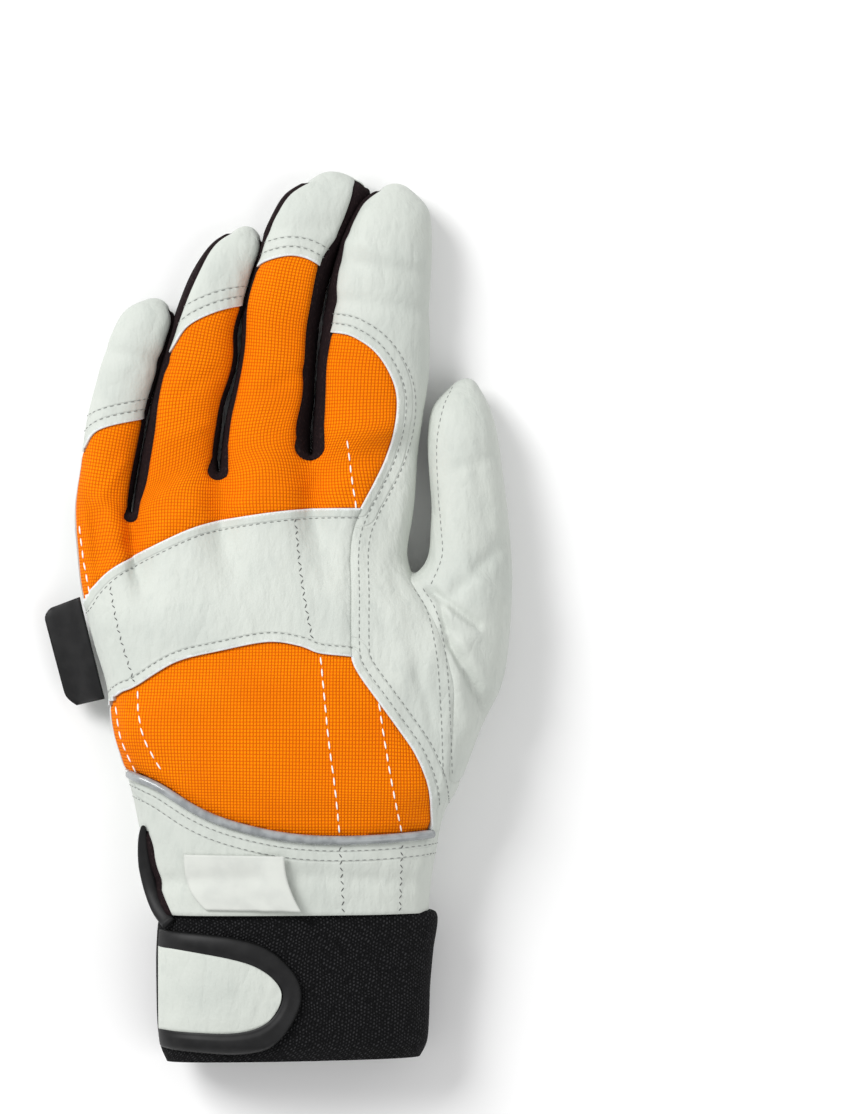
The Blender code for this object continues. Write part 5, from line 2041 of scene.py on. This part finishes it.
@dataclass
class Trim:
    """Piping, labels and the bound slit.

    Attributes:
        maker: The panels that they lie on.
        sides: Sides of a round section.
        piping_lift: Height of the piping's middle over the form in mm.
        tape_sink: Depth of the tape's middle under the leather in mm.
        tape_radius: Largest radius of the tape in mm.
        tape_flatness: Height of its section over its width.
        label_gap: Height of the white label over the leather in mm.
    """

    maker: PanelMaker
    sides: int = 20
    piping_lift: float = 0.45
    tape_sink: float = 1.8
    tape_radius: float = 2.15
    tape_flatness: float = 0.5
    label_gap: float = 0.9

    def tube(self, name: str, path: Sequence[Vector], radii: Sequence[float],
             flatness: float) -> Piece:
        """Round cord along some points.

        Args:
            name: Name of the piece.
            path: Points in metres.
            radii: Radius at each point in metres.
            flatness: Height of the section over its width.

        Returns:
            The object.
        """
        mesh = bmesh.new()
        rings = []
        for k, centre in enumerate(path):
            ahead = path[min(k + 1, len(path) - 1)] - path[max(k - 1, 0)]
            across = ahead.cross(Vector((0, 0, 1))).normalized()
            up = across.cross(ahead).normalized()
            ring = []
            for i in range(self.sides):
                angle = 2 * math.pi * i / self.sides
                spot = across * math.cos(angle) + up * (math.sin(angle) * flatness)
                ring.append(mesh.verts.new(centre + spot * radii[k]))
            rings.append(ring)
        for ring, other in zip(rings, rings[1:]):
            for i in range(self.sides):
                j = (i + 1) % self.sides
                mesh.faces.new([ring[i], ring[j], other[j], other[i]])
        mesh.faces.new(rings[0])
        mesh.faces.new(rings[-1])
        bmesh.ops.recalc_face_normals(mesh, faces=mesh.faces[:])
        data = bpy.data.meshes.new(name)
        mesh.to_mesh(data)
        mesh.free()
        return new_object(name, data)

    def piping(self) -> Piece:
        """Build the piping in its channel.

        Returns:
            The object.
        """
        path = []
        for x, y in curve_points(PANEL_FOOT, 12):
            if PIPING_LEFT < x < PIPING_RIGHT:
                start = flat(x, y, OVER_ALL)
                hit, normal, _, _ = self.maker.hand.tree.ray_cast(start, Vector((0, 0, -1)))
                path.append(hit + normal * (self.piping_lift * MM))
        return self.tube("look_piping", path, [PIPING_RADIUS] * len(path), 1.0)

    def slit_tape(self) -> Piece:
        """Build the rolled tape along the open side of the slit.

        Returns:
            The object.
        """
        knots = curve_points(SLIT_TAPE, 8)
        share = np.linspace(0, 1, len(knots))
        ground = [self.maker.drop(x + 7, min(y, 911), 0.0).z for x, y in knots]
        height = np.polyval(np.polyfit(share, ground, 2), share)
        path = [flat(x, y, z - self.tape_sink * MM) for (x, y), z in zip(knots, height)]
        radii = [between(0.2, self.tape_radius, math.sqrt(min(1.0, t * 2.4))) * MM for t in share]
        return self.tube("look_slit_tape", path, radii, self.tape_flatness)

    def care_label(self) -> Piece:
        """Build the white label that lies on the wrist and curls at its free end.

        Returns:
            The object.
        """
        a, b, c, d = CARE_LABEL
        rows = []
        for j in range(25):
            row = []
            for i in range(41):
                s, t = i / 40, j / 24
                x = between(between(a[0], d[0], t ** 3), between(b[0], c[0], t ** 2), s)
                y = between(between(a[1], b[1], s), between(d[1], c[1], s), t)
                curl = 3.4 * smooth((s - 0.6) / 0.4) * (0.35 + 0.65 * t)
                fold = 0.7 * math.exp(-(((s - 0.3 - 0.3 * t) / 0.09) ** 2)) * smooth((t - 0.55) / 0.45)
                rise = Vector((0, 0, (self.label_gap + curl + fold) * MM))
                row.append(self.maker.drop(x, y, 0.0) + rise)
            rows.append(row)
        return sheet_piece("look_care_label", rows, 0.5)

    def side_label(self) -> Piece:
        """Build the black tab that sticks out of the side seam.

        Returns:
            The object.
        """
        a, b, c, d = SIDE_LABEL
        rows = []
        for j in range(33):
            t = j / 32
            row = []
            for i in range(21):
                s = i / 20
                pull = 9 * max(0.0, 1 - min(t, 1 - t) / 0.13) ** 2 * (1 - s)
                x = between(between(a[0], d[0], t), between(b[0], c[0], t), s) + pull
                y = between(between(a[1], d[1], t), between(b[1], c[1], t), s)
                z = between(7.5, 14.5, smooth(s)) + 0.8 * math.sin(math.pi * t)
                row.append(flat(x, y, z * MM))
            rows.append(row)
        return sheet_piece("look_side_label", rows, 1.2)


@dataclass
class Studio:
    """Floor, light and camera.

    Attributes:
        lens: Focal length in mm.
        sensor: Sensor size in mm.
    """

    lens: float = 200.0
    sensor: float = 36.0

    def build(self) -> None:
        """Set the stage."""
        self.floor()
        self.light("key", (-1.7, 1.4, 1.9), 1.3, 68.0)
        self.light("fill", (1.8, -1.2, 2.4), 2.6, 24.0)
        world = bpy.data.worlds.new("studio")
        world.use_nodes = True
        world.node_tree.nodes["Background"].inputs["Color"].default_value = (1, 1, 1, 1)
        world.node_tree.nodes["Background"].inputs["Strength"].default_value = 0.56
        bpy.context.scene.world = world
        bpy.context.scene.view_settings.view_transform = "Standard"
        self.camera()

    def floor(self) -> None:
        """Lay the pale floor."""
        mesh = bpy.data.meshes.new("floor")
        size = 3.0
        mesh.from_pydata([(-size, -size, 0), (size, -size, 0), (size, size, 0), (-size, size, 0)], [],
                         [(0, 1, 2, 3)])
        mesh.materials.append(FLOOR.build())
        new_object("floor", mesh)

    @staticmethod
    def light(name: str, place: tuple[float, float, float], size: float, power: float) -> None:
        """Hang a soft square light that faces the glove.

        Args:
            name: Its name.
            place: Where it hangs.
            size: Its side in metres.
            power: Its power in watts.
        """
        lamp = bpy.data.lights.new(name, "AREA")
        lamp.size, lamp.energy = size, power
        holder = bpy.data.objects.new(name, lamp)
        holder.location = place
        holder.rotation_euler = (-Vector(place)).to_track_quat("-Z", "Y").to_euler()
        bpy.context.collection.objects.link(holder)

    def camera(self) -> None:
        """Hang the camera straight over the photograph's middle."""
        view = bpy.data.cameras.new("camera")
        view.lens, view.sensor_width = self.lens, self.sensor
        view.clip_start, view.clip_end = 0.01, 20.0
        holder = bpy.data.objects.new("camera", view)
        distance = PHOTO_HEIGHT * UNIT * self.lens / self.sensor
        holder.location = flat(*PHOTO_CENTRE) + Vector((0, 0, distance + 16 * MM))
        bpy.context.collection.objects.link(holder)
        bpy.context.scene.camera = holder


@dataclass
class Glove:
    """The whole glove.

    Attributes:
        made: Finishes by slot.
    """

    made: dict[Slot, Material] = field(default_factory=dict)

    def build(self) -> None:
        """Make all pieces in order."""
        self.made = {
            Slot.LEATHER: LeatherFinish().build(), Slot.ORANGE: WeaveFinish().build(),
            Slot.FABRIC: ClothFinish().build(), Slot.KNIT: KnitFinish().build(),
            Slot.RUBBER: RUBBER.build(), Slot.PIPING: PIPING.build(), Slot.LABEL: LABEL.build(),
        }
        hand = Hand().build()
        maker = PanelMaker(hand)
        for name, panel in PANELS.items():
            self.keep(maker.make(name, panel), panel.slot, name)
        maker.close()
        hand.mesh.free()
        cuff, trim = Cuff(), Trim(maker)
        self.keep(cuff.knit(), Slot.KNIT, "cuff")
        self.keep(cuff.binding(), Slot.RUBBER, "closure_binding")
        self.keep(cuff.tab(), Slot.LEATHER, "closure_tab")
        self.keep(trim.piping(), Slot.PIPING, "piping")
        self.keep(trim.slit_tape(), Slot.RUBBER)
        label = trim.care_label()
        self.keep(label, Slot.LABEL, "care_label")
        self.keep(trim.side_label(), Slot.RUBBER, "side_label")
        self.sewing(Sewing(maker))

    def keep(self, piece: Piece, slot: Slot, *nodes: str) -> None:
        """Fix a piece to the glove's body, finish it unless it is thread, and report it.

        Args:
            piece: The piece.
            slot: Its material slot.
            *nodes: Nodes that it stands for.
        """
        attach(piece, "root")
        if nodes:
            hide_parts(*nodes)
        if not piece.data.materials:
            piece.data.materials.append(self.made[slot])
        LOG.info("%s: %d faces", piece.name, len(piece.data.polygons))

    def sewing(self, sewing: Sewing) -> None:
        """Sew all rows.

        Args:
            sewing: The stitch maker.
        """
        rows = LeatherFinish().rows
        white, grey, dark = (finish.build() for finish in (WHITE_THREAD, GREY_THREAD, DARK_THREAD))
        runs = [run for line in THREAD_LINES for run in sewing.row(line, PANEL_STITCH.height)]
        self.keep(sewing.sew("look_panel_thread", runs, white, PANEL_STITCH), Slot.LABEL)
        height = LEATHER_STITCH.height
        runs = []
        for offset in rows:
            reach = offset / GRID_MM
            for name in ("little", "ring", "middle"):
                runs += sewing.row(SEAMS["cap_" + name].beside(-reach), height, "tip_" + name)
            runs += sewing.row(SEAMS["side"].beside(-reach, 0.0, 0.94), height, "index_leather")
            runs += sewing.row(SEAMS["foot"].beside(reach + 2, 0.04, 0.93), height, "wrist_leather")
        for name, way in (("strap_top", 1), ("strap_foot", -1)):
            runs += sewing.row(SEAMS[name].beside(way * rows[0] / GRID_MM), height, "knuckle_strap")
        runs += sewing.row(THUMB_EDGE, height) + sewing.row(THUMB_BASE, height)
        runs += sewing.row([(x - DOUBLE_ROW, y) for x, y in THUMB_BASE], height)
        for shift in (0, DOUBLE_ROW):
            line = [(x - shift, y) for x, y in THUMB_PALM]
            runs += sewing.row(line, height, "palm_leather", under=True)
        self.keep(sewing.sew("look_leather_thread", runs, grey, LEATHER_STITCH), Slot.LEATHER)
        runs = [run for line in ZIGZAG_LINES for run in sewing.row(line, ZIGZAG_STITCH.height)]
        self.keep(sewing.sew("look_zigzag_thread", runs, dark, ZIGZAG_STITCH), Slot.LEATHER)


def main() -> None:
    """Build the glove and its studio."""
    logging.basicConfig(level=logging.INFO, format="%(message)s")
    Glove().build()
    Studio().build()


if __name__ == "__main__":
    main()
